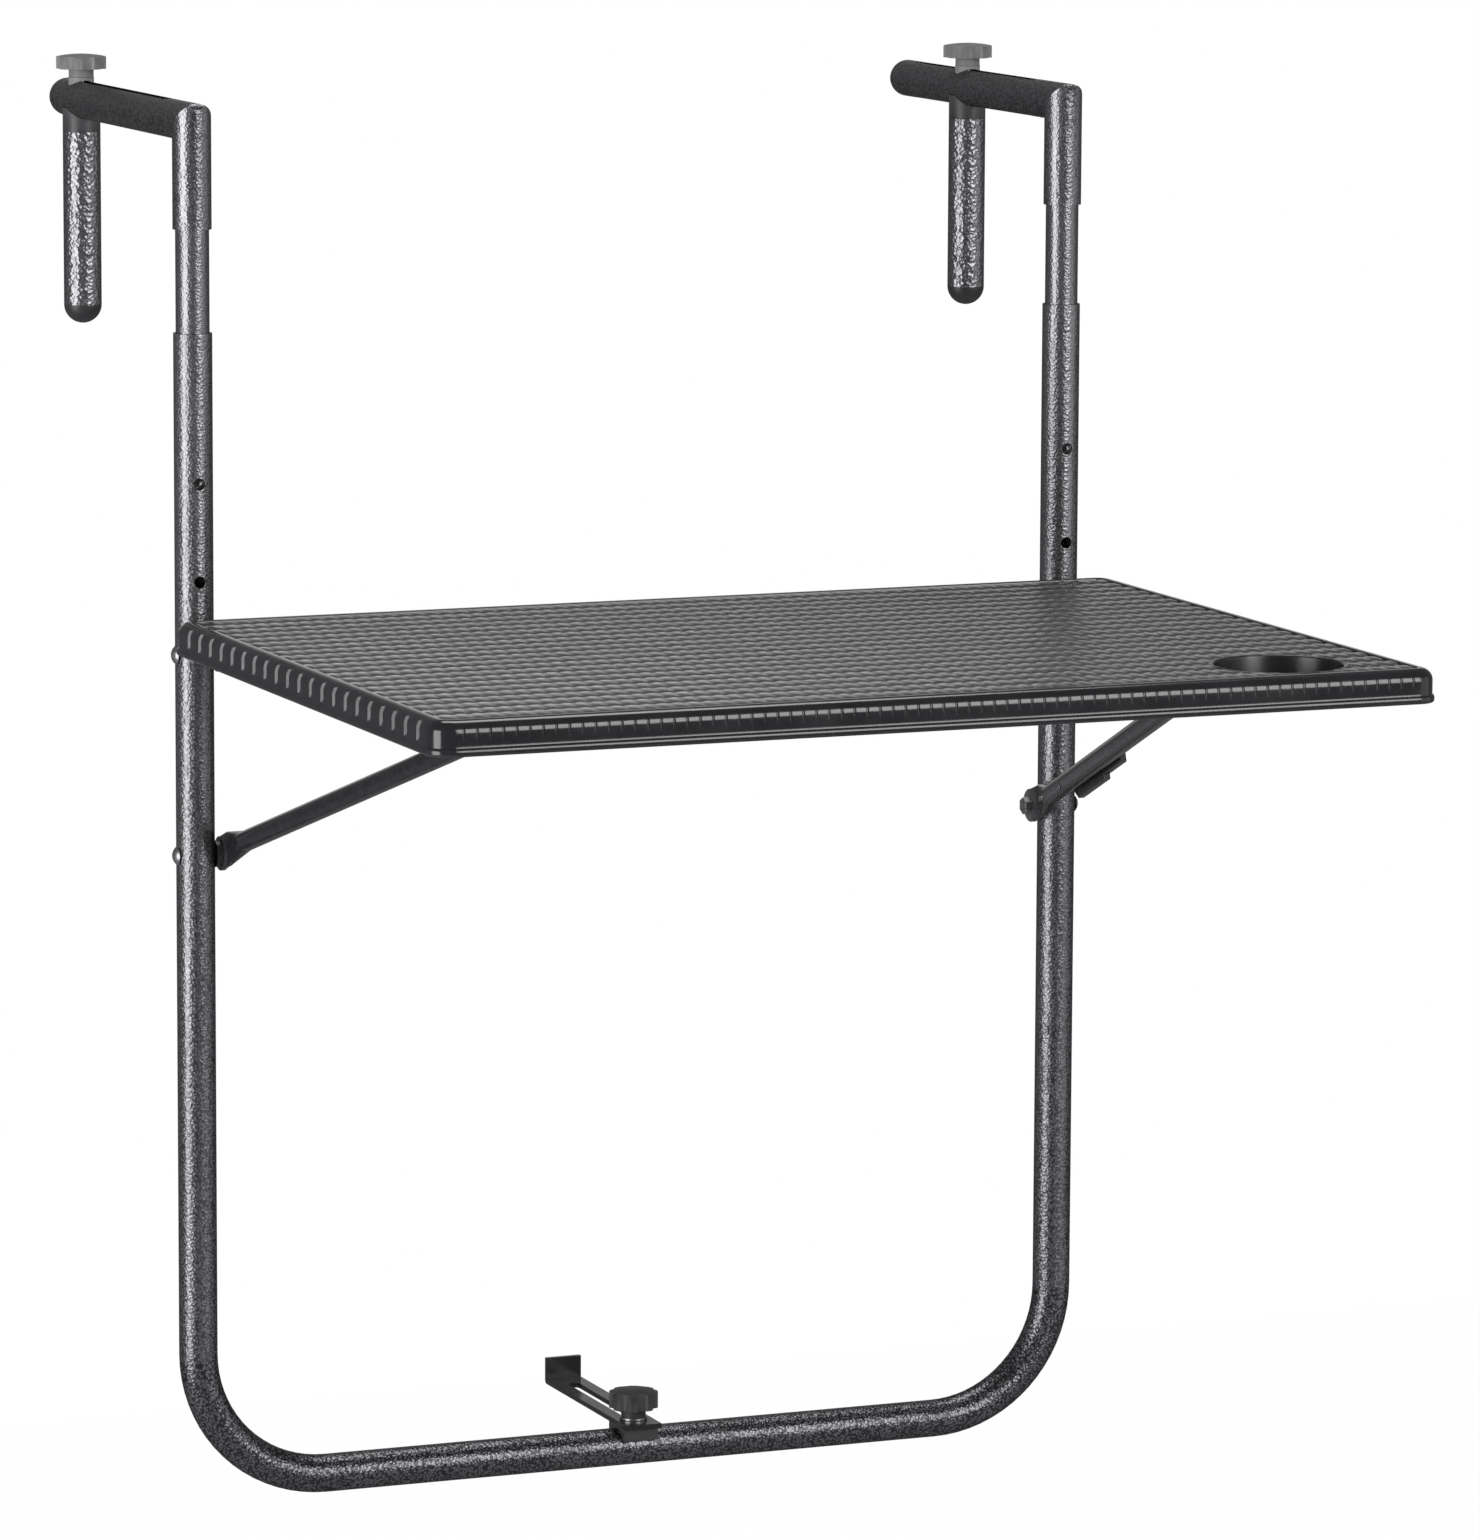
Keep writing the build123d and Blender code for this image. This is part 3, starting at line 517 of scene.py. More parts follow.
ZINC = Finish(
    "zinc", Grain.PLATED, dark=(0.16, 0.16, 0.165), light=(0.34, 0.34, 0.35),
    worn=(0.5, 0.5, 0.5), rough=(0.24, 0.42), size=0.6 * MM, relief=0.12,
    metallic=1.0,
)
CLIP_STEEL = Finish(
    "clip_steel", Grain.SATIN, dark=(0.030, 0.030, 0.032), light=(0.070, 0.070, 0.074),
    worn=(0.4, 0.4, 0.41), rough=(0.16, 0.28), size=0.9 * MM, relief=0.08,
    metallic=0.7, tint=0.4,
)
BOLT_PAINT = Finish(
    "bolt_paint", Grain.SATIN, dark=(0.20, 0.20, 0.21), light=(0.36, 0.36, 0.37),
    worn=(0.5, 0.5, 0.5), rough=(0.22, 0.36), size=0.9 * MM, relief=0.14,
    metallic=0.8, tint=0.4,
)


class Workshop:
    """Keeps the materials, so that each finish is made once, and turns meshes into pieces."""

    WELD = 0.002 * MM
    SLIVER = 0.001 * MM

    def __init__(self) -> None:
        """Start with no materials made."""
        self.made: dict[Finish, bpy.types.Material] = {}

    def material(self, finish: Finish) -> bpy.types.Material:
        """Material of a finish, made when it is first asked for.

        Args:
            finish: Finish that is asked for.

        Returns:
            Its material.
        """
        if finish not in self.made:
            self.made[finish] = finish.material()
        return self.made[finish]

    def paint(self, piece: bpy.types.Object, *finishes: Finish) -> None:
        """Give a piece its finishes.

        Args:
            piece: Piece that gets them, with or without materials so far.
            finishes: Finishes in the order of the numbers on its faces.
        """
        while len(piece.data.materials) < len(finishes):
            piece.data.materials.append(None)
        for index, finish in enumerate(finishes):
            piece.data.materials[index] = self.material(finish)

    def paint_nodes(self, nodes: Sequence[str], finish: Finish) -> None:
        """Give nodes of the frame one finish.

        Args:
            nodes: Names of the nodes.
            finish: Finish they get.
        """
        for name in nodes:
            self.paint(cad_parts[name], finish)
            LOG.info("%s: %s", name, finish.name)

    def bridge(self, mesh: Mesh, first: Sequence[Vert], second: Sequence[Vert]) -> list[Face]:
        """Join two rings of the same length by a band of faces.

        Args:
            mesh: Mesh that has the rings.
            first: Corners of one ring.
            second: Corners of the other ring.

        Returns:
            The new faces, in the order of the corners.
        """
        faces = []
        for index in range(len(first)):
            follow = (index + 1) % len(first)
            corners = (first[index], first[follow], second[follow], second[index])
            faces.append(mesh.faces.new(corners))
        return faces

    def weld(self, mesh: Mesh) -> None:
        """Join corners that lie on one spot, and drop faces without width."""
        bmesh.ops.remove_doubles(mesh, verts=mesh.verts, dist=self.WELD)
        bmesh.ops.dissolve_degenerate(mesh, edges=mesh.edges, dist=self.SLIVER)

    def piece(self, name: str, mesh: Mesh, smooth: float, *finishes: Finish) -> bpy.types.Object:
        """Turn a mesh into a piece of the scene.

        Args:
            name: Name of the piece.
            mesh: Mesh in metres, which is used up.
            smooth: Angle in degrees up to which edges are shaded smooth.
            finishes: Finishes in the order of the numbers on its faces.

        Returns:
            The new object.
        """
        bmesh.ops.recalc_face_normals(mesh, faces=mesh.faces)
        data = bpy.data.meshes.new(name)
        mesh.to_mesh(data)
        mesh.free()
        data.shade_smooth()
        data.set_sharp_from_angle(angle=math.radians(smooth))
        piece = bpy.data.objects.new(name, data)
        bpy.context.scene.collection.objects.link(piece)
        self.paint(piece, *finishes)
        LOG.info("%s: %d faces", name, len(data.polygons))
        return piece


class Mark(NamedTuple):
    """One place along a straight side of the rim."""

    distance: float
    depth: float = 0.0
    end: float = 0.0
    # Whether the faces after this place are a slit's steep wall, painted pale as a painted
    # highlight.
    wall: bool = False


class Station(NamedTuple):
    """One place round the rim."""

    foot: Vector
    outward: Vector
    mark: Mark
    open: bool


@dataclass
class TableTop:
    """Moulded top: rim with slits and bead, woven field, cup holder, ribs and runners.

    Sizes in millimetres. Outlines of the rim and the cup give steps outward and downward.
    """

    workshop: Workshop
    depth: float = 19.5
    plate: float = 4.0
    wall: float = 3.0
    margin: float = 8.8
    corner: float = 12.8
    corner_steps: int = 12
    shoulder: float = 7.0
    shoulder_steps: int = 12
    lip: Outline = ((0.0, 0.6), (0.35, 0.1), (0.9, 0.0))
    skirt_drops: tuple[float, ...] = (8.6, 10.4, 12.2, 13.4)
    skirt_foot: Outline = ((0.7, 0.0), (0.0, -0.6))
    bead: float = 1.2
    bead_height: float = 4.5
    bead_round: float = 1.6
    bead_upper: Outline = ((0.0, -0.5), (0.1, -0.1), (0.6, 0.25), (1.0, 0.8))
    bead_lower: Outline = ((0.95, -0.5), (0.3, 0.0))
    rim_smooth: float = 40.0
    row_pitch: float = 19.5
    slit_count: int = 21
    slit_depth: float = 1.7
    slit_start: float = 2.6
    slit_end: float = 12.4
    slit_fade: float = 1.2
    slit_guard: Span = (0.8, 0.3)
    slit_ramp: Outline = (
        (0.0, 1.0), (0.6, 0.95), (1.8, 0.6), (3.2, 0.22), (4.6, 0.0), (5.2, 0.0),
    )
    # Share of a slit's depth above which its steep wall gets the painted highlight.
    slit_highlight_share: float = 0.4
    dent_pitch: float = 7.6
    dent_depth: float = 0.24
    dent_half: float = 0.75
    dent_end: float = 8.8
    dent_shape: Outline = (
        (-1.4, 0.0), (-1.0, 0.0), (-0.5, 0.7), (0.0, 1.0), (0.5, 0.7), (1.0, 0.0), (1.4, 0.0),
    )
    notch_inner: float = 256.5
    notch_outer: float = 296.0
    notch_facing: float = 0.05
    notch_edge: float = 0.98
    weave_depth: float = 1.9
    strand_half: float = 8.9
    crown_power: float = 3.2
    crown_flat: float = 0.6
    dash_pitch: float = 9.0
    dash_steps: int = 6
    dash_dip: float = 0.25
    dash_power: float = 2.2
    dash_twist: float = 0.06
    stray: float = 0.06
    stray_turn: float = 2.4
    row_steps: tuple[float, ...] = (0.0, 0.04, 0.09, 0.17, 0.32, 0.5, 0.68, 0.83, 0.91, 0.96)
    row_gap: float = 0.3
    field_fade: float = 1.5
    field_sink: float = 0.03
    field_smooth: float = 60.0
    rib_columns: tuple[float, ...] = (-82.0, 82.0)
    rib_rows: tuple[float, ...] = (-170.0, -310.0)
    rib_reach: float = 255.0
    rib_wall: float = 2.4
    rib_depth: float = 11.0
    rib_inset: float = 1.5
    rib_sink: float = 0.4
    rib_smooth: float = 30.0
    runner_places: tuple[float, ...] = (168.5, 185.5)
    runner_wall: float = 3.2
    runner_outline: Outline = (
        (-292.0, 3.6), (-292.0, 28.85), (-296.95, 34.85), (-302.95, 34.85), (-302.95, 28.85),
        (-316.0, 28.85), (-326.0, 32.05), (-332.0, 32.05), (-342.0, 28.85), (-457.0, 21.0),
        (-457.0, 3.6),
    )
    cup_x: float = 226.0
    cup_y: float = -419.4
    cup_radius: float = 37.0
    cup_depth: float = 16.5
    cup_wall: float = 2.2
    cup_ring: float = 3.0
    cup_steps: int = 96
    cup_lip: Outline = ((0.0, 1.4), (-0.2, 0.7), (-0.6, 0.3), (-1.1, 0.15))
    cup_brim: Outline = ((1.4, 0.15), (0.6, 0.3), (0.15, 0.7), (0.0, 1.6))
    cup_bowl: Outline = (
        (-0.3, -4.0), (-0.7, -2.2), (-1.8, -0.7), (-3.6, -0.1), (-6.0, 0.0), (-16.0, 0.0),
        (-17.0, -0.5), (-18.0, -0.5), (-19.0, 0.0),
    )
    cup_base: float = 2.0
    cup_heel: Outline = ((-0.5, -0.6), (0.0, -2.0))
    cup_smooth: float = 50.0

    def __post_init__(self) -> None:
        """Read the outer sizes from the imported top."""
        low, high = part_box("table_top")
        self.half = high.x / MM - self.bead
        self.back = high.y / MM - self.bead
        self.front = low.y / MM + self.bead
        self.level = high.z / MM
        self.middle = (self.back + self.front) / 2

    def build(self) -> None:
        """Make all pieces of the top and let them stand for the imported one."""
        for piece in (self.rim(), self.field(), self.cup(), self.ribs()):
            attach(piece, "table")
            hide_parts("table_top")

    def slits(self, edge: Edge) -> list[Mark]:
        """Slits of a short side, each with its steep wall facing the front and marked for the pale
        paint of a painted highlight.

        Args:
            edge: Left or right edge.

        Returns:
            Marks along the side, in the order in which the rim runs.
        """
        left = edge is Edge.LEFT
        forward = 1 if left else -1
        outer, inner = self.slit_guard
        marks = []
        for index in range(self.slit_count):
            centre = (index - (self.slit_count - 1) / 2) * self.row_pitch
            slit = [Mark(centre - forward * outer), Mark(centre - forward * inner, wall=left)]
            for away, share in self.slit_ramp:
                wall = not left and away == 0.0
                place = centre + forward * away
                slit.append(Mark(place, share * self.slit_depth, self.slit_end, wall))
            marks += slit if left else slit[::-1]
        return marks

    def dents(self, reach: float) -> list[Mark]:
        """Fine upright dents of a long side.

        Args:
            reach: Half of the length of the straight side.

        Returns:
            Marks along the side.
        """
        marks = []
        count = int(2 * reach / self.dent_pitch)
        for index in range(count):
            centre = (index - (count - 1) / 2) * self.dent_pitch
            for share, depth in self.dent_shape:
                place = centre + share * self.dent_half
                marks.append(Mark(place, depth * self.dent_depth, self.dent_end))
        return marks

    def around(self) -> list[tuple[Vector, Vector, Mark]]:
        """Places round the rim, anticlockwise from above.

        Returns:
            Foot, outward direction and mark of each place.
        """
        flat_x = self.half - self.corner
        flat_y = (self.back - self.front) / 2 - self.corner
        sides = (
            (Edge.FRONT, Vector((0, self.front)), Vector((1, 0)), flat_x),
            (Edge.RIGHT, Vector((self.half, self.middle)), Vector((0, 1)), flat_y),
            (Edge.BACK, Vector((0, self.back)), Vector((-1, 0)), flat_x),
            (Edge.LEFT, Vector((-self.half, self.middle)), Vector((0, -1)), flat_y),
        )
        places = []
        for edge, centre, along, reach in sides:
            outward = Vector((along.y, -along.x))
            marks = self.dents(reach) if edge in (Edge.FRONT, Edge.BACK) else self.slits(edge)
            for mark in [Mark(-reach), *marks, Mark(reach)]:
                places.append((centre + along * mark.distance, outward, mark))
            hub = centre + along * reach - outward * self.corner
            for step in range(1, self.corner_steps):
                angle = math.pi / 2 * step / self.corner_steps
                turned = outward * math.cos(angle) + along * math.sin(angle)
                places.append((hub + turned * self.corner, turned, Mark(reach)))
        return places

    def stations(self) -> list[Station]:
        """Places round the rim, with the openings for the posts.

        Returns:
            Stations in order, with double ones at the ends of the openings.
        """
        placed: list[Station] = []
        for foot, outward, mark in self.around():
            rear = foot.y > self.back - self.corner and outward.y > self.notch_facing
            inside = rear and self.notch_inner < abs(foot.x) < self.notch_outer
            if placed and placed[-1].open != inside:
                near = placed[-1].foot.lerp(foot, self.notch_edge)
                placed.append(Station(near, outward, mark, placed[-1].open))
            placed.append(Station(foot, outward, mark, inside))
        return placed

    def profile(self) -> tuple[list[Span], list[Span]]:
        """Section of the rim as distances outward of the skirt face and below the top.

        Returns:
            Outer face from the lip down to the bead, and inner face from there up to the plate.
        """
        bead_top = self.depth - self.bead_height
        outer = [(out - self.margin, drop) for out, drop in self.lip]
        for step in range(self.shoulder_steps + 1):
            angle = math.pi / 2 * (1 - step / self.shoulder_steps)
            out = self.shoulder * (math.cos(angle) - 1)
            outer.append((out, self.shoulder * (1 - math.sin(angle))))
        outer += [(0.0, drop) for drop in self.skirt_drops]
        outer += [(out, bead_top + drop) for out, drop in self.bead_upper]
        outer.append((self.bead, bead_top + self.bead_round))
        outer.append((self.bead, self.depth - self.bead_round))
        inner = [(out, self.depth + drop) for out, drop in self.bead_lower]
        inner += [(out - self.wall, self.depth + drop) for out, drop in self.skirt_foot]
        inner += [(-self.wall, self.plate), (-self.margin, self.plate)]
        return outer, inner

    def share(self, drop: float, end: float) -> float:
        """How much of a mark's depth is cut at a distance below the top.

        Args:
            drop: Distance below the top.
            end: Distance below the top at which the mark ends.

        Returns:
            Share from 0 to 1.
        """
        upper = (drop - self.slit_start) / self.slit_fade
        lower = (end - drop) / self.slit_fade
        return min(1.0, max(0.0, min(upper, lower) + 0.5))

    def rim(self) -> bpy.types.Object:
        """Rim and skirt, swept round the outline, with a painted highlight on the slits' steep
        walls.

        Returns:
            The rim.
        """
        mesh = bmesh.new()
        outer, inner = self.profile()
        section = outer + inner
        stations = self.stations()
        rings = []
        for station in stations:
            ring = []
            for index, (out, drop) in enumerate(section):
                cut = self.share(drop, station.mark.end) if index < len(outer) else 0.0
                spot = station.foot + station.outward * (out - station.mark.depth * cut)
                fall = min(drop, self.plate) if station.open else drop
                ring.append(mesh.verts.new(Vector((spot.x, spot.y, self.level - fall)) * MM))
            rings.append(ring)
        for station, ring, after in zip(stations, rings, rings[1:] + rings[:1]):
            band = self.workshop.bridge(mesh, ring, after)
            for face, (_, drop) in zip(band, outer):
                # Faces on the slits' steep walls get the pale finish, a painted highlight.
                pale = station.mark.wall and self.share(drop, self.slit_end) > self.slit_highlight_share
                face.material_index = 1 if pale else 0
        self.workshop.weld(mesh)
        finishes = (TABLE_PLASTIC, SLIT_HIGHLIGHT_PLASTIC)
        return self.workshop.piece("table_rim", mesh, self.rim_smooth, *finishes)

    def weave(self, x: np.ndarray, y: np.ndarray) -> np.ndarray:
        """Height of the moulded weave above its floor.

        Args:
            x: Places across the table.
            y: Places along its depth.

        Returns:
            Heights from 0 to the depth of the weave.
        """
        row = (y - self.middle) / self.row_pitch
        number = np.floor(row)
        off = np.abs(row - number - 0.5) * self.row_pitch / self.strand_half
        crown = np.clip(1 - off ** self.crown_power, 0, 1) ** self.crown_flat
        shift = self.stray * np.sin(number * self.stray_turn)
        turn = 2 * math.pi * (x / self.dash_pitch + number / 2 + shift)
        dip = (0.5 + 0.5 * np.cos(turn)) ** self.dash_power
        twist = self.dash_twist * np.sin(turn) * (row - number - 0.5)
        return self.weave_depth * crown * (1 - self.dash_dip * dip + twist)

    def row_lines(self, low: float, high: float) -> np.ndarray:
        """Places along the depth at which the weave is drawn, closer at the edges of its rows.

        Args:
            low: Front end of the field.
            high: Back end of the field.

        Returns:
            Places in order.
        """
        steps = np.array(self.row_steps)
        first = math.floor((low - self.middle) / self.row_pitch)
        last = math.ceil((high - self.middle) / self.row_pitch)
        rows = [self.middle + (row + steps) * self.row_pitch for row in range(first, last)]
        lines = np.concatenate(rows)
        inside = lines[(lines > low + self.row_gap) & (lines < high - self.row_gap)]
        return np.concatenate(([low], inside, [high]))

    def relief(self) -> tuple[np.ndarray, np.ndarray, np.ndarray]:
        """Grid over the field, with the weave fading out at its edge.

        Returns:
            Places across the table, places along its depth and heights.
        """
        reach = self.half - self.margin
        low = self.front + self.margin
        high = self.back - self.margin
        step = self.dash_pitch / self.dash_steps
        count = int(reach / step)
        xs = np.concatenate(([-reach], np.arange(-count, count + 1) * step, [reach]))
        grid_x, grid_y = np.meshgrid(xs, self.row_lines(low, high))
        edge = np.minimum(np.minimum(reach - np.abs(grid_x), grid_y - low), high - grid_y)
        height = self.weave(grid_x, grid_y) * np.clip(edge / self.field_fade, 0, 1)
        return grid_x, grid_y, height

    def field(self) -> bpy.types.Object:
        """Woven field inside the rim, as a plate with the relief on top.

        Returns:
            The field.
        """
        mesh = bmesh.new()
        grid_x, grid_y, height = self.relief()
        rows, columns = height.shape
        floor = self.level - self.weave_depth - self.field_sink
        away = np.hypot(grid_x - self.cup_x, grid_y - self.cup_y)
        keep = away > self.cup_radius + self.cup_wall / 2
        verts = {}
        for r, c in zip(*np.nonzero(keep)):
            spot = Vector((grid_x[r, c], grid_y[r, c], floor + height[r, c]))
            verts[r, c] = mesh.verts.new(spot * MM)
        for r in range(rows - 1):
            for c in range(columns - 1):
                corners = ((r, c), (r, c + 1), (r + 1, c + 1), (r + 1, c))
                if all(key in verts for key in corners):
                    mesh.faces.new([verts[key] for key in corners])
        loose = [v for v in mesh.verts if not v.link_faces]
        bmesh.ops.delete(mesh, geom=loose, context="VERTS")
        border = [e for e in mesh.edges if e.is_boundary]
        skirt = bmesh.ops.extrude_edge_only(mesh, edges=border)["geom"]
        under = (self.level - self.plate) * MM
        for vert in (g for g in skirt if isinstance(g, Vert)):
            vert.co.z = under
        rim_edges = [e for e in mesh.edges if e.is_boundary]
        bmesh.ops.triangle_fill(mesh, edges=rim_edges, use_beauty=True, use_dissolve=False)
        return self.workshop.piece("table_field", mesh, self.field_smooth, FIELD_PLASTIC)

    def cup_section(self) -> list[Span]:
        """Section of the cup holder.

        Returns:
            Closed outline as distances from the axis and below the top.
        """
        inner = self.cup_radius
        wide = inner + self.cup_ring
        outer = inner + self.cup_wall
        floor = self.cup_depth
        under = floor + self.cup_wall
        section = [(wide + out, drop) for out, drop in self.cup_lip]
        section += [(inner + out, drop) for out, drop in self.cup_brim]
        section += [(inner + out, floor + drop) for out, drop in self.cup_bowl]
        section += [(0.0, floor), (0.0, under), (inner - self.cup_base, under)]
        section += [(outer + out, under + drop) for out, drop in self.cup_heel]
        return section + [(outer, self.plate), (wide, self.plate)]

    def cup(self) -> bpy.types.Object:
        """Cup holder, turned round its axis.

        Returns:
            The cup holder.
        """
        mesh = bmesh.new()
        section = self.cup_section()
        rings = []
        for step in range(self.cup_steps):
            angle = 2 * math.pi * step / self.cup_steps
            ring = []
            for radius, drop in section:
                x = self.cup_x + radius * math.cos(angle)
                y = self.cup_y + radius * math.sin(angle)
                ring.append(mesh.verts.new(Vector((x, y, self.level - drop)) * MM))
            rings.append(ring)
        for ring, after in zip(rings, rings[1:] + rings[:1]):
            self.workshop.bridge(mesh, ring, after)
        self.workshop.weld(mesh)
        return self.workshop.piece("cup_holder", mesh, self.cup_smooth, CUP_PLASTIC)

    def ribs(self) -> bpy.types.Object:
        """Ribs and runners under the plate.

        Returns:
            The ribs as one piece.
        """
        mesh = bmesh.new()
        upper = self.plate - self.rib_sink
        lower = self.plate + self.rib_depth
        half = self.rib_wall / 2
        near, far = self.front + self.rib_inset, self.back - self.rib_inset
        for x in self.rib_columns:
            self.slab(mesh, x, half, ((near, upper), (near, lower), (far, lower), (far, upper)))
        for y in self.rib_rows:
            beam = ((y - half, upper), (y - half, lower), (y + half, lower), (y + half, upper))
            self.slab(mesh, 0.0, self.rib_reach, beam)
        for side in Side:
            for x in self.runner_places:
                self.slab(mesh, side.value * x, self.runner_wall / 2, self.runner_outline)
        return self.workshop.piece("table_ribs", mesh, self.rib_smooth, TABLE_PLASTIC)

    def slab(self, mesh: Mesh, x: float, half: float, outline: Outline) -> None:
        """Add a flat wall that hangs under the plate.

        Args:
            mesh: Mesh that it is added to.
            x: Middle of the wall across the table.
            half: Half of its thickness.
            outline: Places along the depth with distances below the top.
        """
        ends = []
        for place in (x - half, x + half):
            spots = [Vector((place, y, self.level - drop)) * MM for y, drop in outline]
            ends.append([mesh.verts.new(spot) for spot in spots])
        for end in ends:
            mesh.faces.new(end)
        self.workshop.bridge(mesh, *ends)


@dataclass
class Hardware:
    """Tubes, braces, knobs and bolts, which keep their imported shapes."""

    workshop: Workshop

    def pair(self, ending: str) -> list[str]:
        """Names of the left and the right node with an ending."""
        return [f"{side.label}_{ending}" for side in Side]

    def dress(self) -> None:
        """Give each group of nodes its finish."""
        groups = (
            (TUBE_PAINT, ["u_frame", *self.pair("hook")]),
            (DROP_PAINT, self.pair("drop_post")),
            (SLIDE_PAINT, self.pair("inner_tube")),
            (BRACE_PAINT, self.pair("brace")),
            (STRIP_PAINT, ["foot_strip"]),
            (KNOB_PLASTIC, [*self.pair("hook_knob"), *self.pair("saddle_washer")]),
            (FOOT_KNOB_PLASTIC, ["foot_knob"]),
            (CAP_PLASTIC, [*self.pair("arm_cap"), *self.pair("drop_cap"), *self.pair("drop_plug")]),
            (BLACK_PLASTIC, [*self.pair("hinge_lug"), "brace_spacers", "foot_saddle"]),
            (BLACK_PLASTIC, self.pair("brace_cap")),
            (BOLT_PAINT, ["hinge_bolts", "brace_bolts", "catch_rivet"]),
            (ZINC, ["hinge_washers", "pivot_nuts", "foot_bolt", "foot_washer", "table_screws"]),
            (ZINC, self.pair("clamp_screw")),
        )
        for finish, nodes in groups:
            self.workshop.paint_nodes(nodes, finish)


@dataclass
class SnapClip:
    """Hairpin spring in a post, with places along the depth in millimetres.

    Its rear leaf stays with the inner tube and its front leaf carries the button.
    """

    workshop: Workshop
    side: Side
    rear: float = 3.0
    front: float = -6.0

    def build(self) -> None:
        """Copy the imported spring, give it its finish and hide the imported node."""
        node = f"{self.side.label}_snap_clip"
        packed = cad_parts[node]
        spring = bpy.data.objects.new(f"{self.side.label}_spring", packed.data.copy())
        spring.matrix_world = packed.matrix_world
        bpy.context.scene.collection.objects.link(spring)
        self.workshop.paint(spring, CLIP_STEEL)
        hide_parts(node)
        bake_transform(spring)
        LOG.info("%s: %s", spring.name, CLIP_STEEL.name)


@dataclass
class BraceCatch:
    """Stepped lever on the outer side of the right brace.

    Sizes in millimetres, from the middle of its rivet.
    """

    workshop: Workshop
    rivet: Triple = (254.924, -71.937, -399.303)
    along: Triple = (-0.152012, -0.932326, 0.328118)
    down: Triple = (0.0, -0.331968, -0.943291)
    outward: Triple = (0.988379, -0.143391, 0.050464)
    outline: Outline = (
        (-14.0, -4.5), (97.0, -4.5), (97.0, 4.7), (58.0, 4.7), (58.0, 7.9), (-3.5, 7.9),
        (-14.0, 0.5),
    )
    inner: float = 6.55
    outer: float = 10.75
    rounding: float = 0.5
    hole: float = 2.06
    hole_steps: int = 24
    smooth: float = 30.0

    def build(self) -> None:
        """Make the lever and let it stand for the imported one."""
        mesh = bmesh.new()
        turns = [math.tau * step / self.hole_steps for step in range(self.hole_steps)]
        circle = [(self.hole * math.cos(turn), self.hole * math.sin(turn)) for turn in turns]
        small = self.shrunk(self.rounding)
        levels = (
            (small, self.inner), (self.outline, self.inner + self.rounding),
            (self.outline, self.outer - self.rounding), (small, self.outer),
        )
        rims = [self.ring(mesh, outline, level) for outline, level in levels]
        bores = [self.ring(mesh, circle, level) for level in (self.inner, self.outer)]
        for first, second in (*zip(rims, rims[1:]), tuple(bores)):
            self.workshop.bridge(mesh, first, second)
        for loops in ((rims[0], bores[0]), (rims[-1], bores[-1])):
            ends = [pair for loop in loops for pair in zip(loop[-1:] + loop[:-1], loop)]
            edges = [mesh.edges.get(pair) for pair in ends]
            bmesh.ops.triangle_fill(mesh, edges=edges, use_beauty=True)
        lever = self.workshop.piece("catch_lever", mesh, self.smooth, BLACK_PLASTIC)
        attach(lever, "catch")
        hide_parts("brace_catch")

    def shrunk(self, amount: float) -> list[Span]:
        """The outline with each of its edges moved inward.

        Args:
            amount: How far the edges move.

        Returns:
            The corners of the smaller outline.
        """
        corners = [Vector(corner) for corner in self.outline]
        moved = []
        for index, corner in enumerate(corners):
            before = (corner - corners[index - 1]).normalized()
            after = (corners[(index + 1) % len(corners)] - corner).normalized()
            inward = (Vector((-before.y, before.x)), Vector((-after.y, after.x)))
            middle = inward[0] + inward[1]
            moved.append(tuple(corner + middle * (amount / (1 + inward[0].dot(inward[1])))))
        return moved

    def ring(self, mesh: Mesh, outline: Sequence[Span], level: float) -> list[Vert]:
        """Add the corners of an outline at one distance from the brace.

        Args:
            mesh: Mesh that they are added to.
            outline: Distances along and below the rivet.
            level: Distance outward.

        Returns:
            The new corners.
        """
        origin = Vector(self.rivet) + Vector(self.outward) * level
        along, down = Vector(self.along), Vector(self.down)
        spots = [origin + along * far + down * drop for far, drop in outline]
        return [mesh.verts.new(spot * MM) for spot in spots]


@dataclass(frozen=True)
class Lamp:
    """Soft rectangular lamp, in metres and watts."""

    name: str
    spot: Triple
    aim: Triple
    size: tuple[float, float]
    power: float

    def hang(self) -> None:
        """Put the lamp into the scene."""
        data = bpy.data.lights.new(self.name, "AREA")
        data.shape = "RECTANGLE"
        data.size, data.size_y = self.size
        data.energy = self.power
        lamp = bpy.data.objects.new(self.name, data)
        way = Vector(self.aim) - Vector(self.spot)
        facing = way.to_track_quat("-Z", "Y").to_matrix().to_4x4()
        lamp.matrix_world = Matrix.Translation(self.spot) @ facing
        bpy.context.scene.collection.objects.link(lamp)


LAMPS = (
    Lamp("left_softbox", (-3.0, -0.95, -0.75), (0.0, -0.05, -0.45), (1.9, 3.0), 80.0),
    Lamp("right_fill", (3.4, -2.4, -0.2), (0.0, 0.0, -0.4), (3.4, 3.0), 17.0),
    Lamp("front_panel", (1.35, -3.4, 0.58), (0.0, -0.25, -0.45), (1.5, 1.8), 46.0),
    Lamp("top_softbox", (0.4, 0.7, 2.1), (0.0, -0.15, -0.4), (1.6, 1.0), 22.0),
)


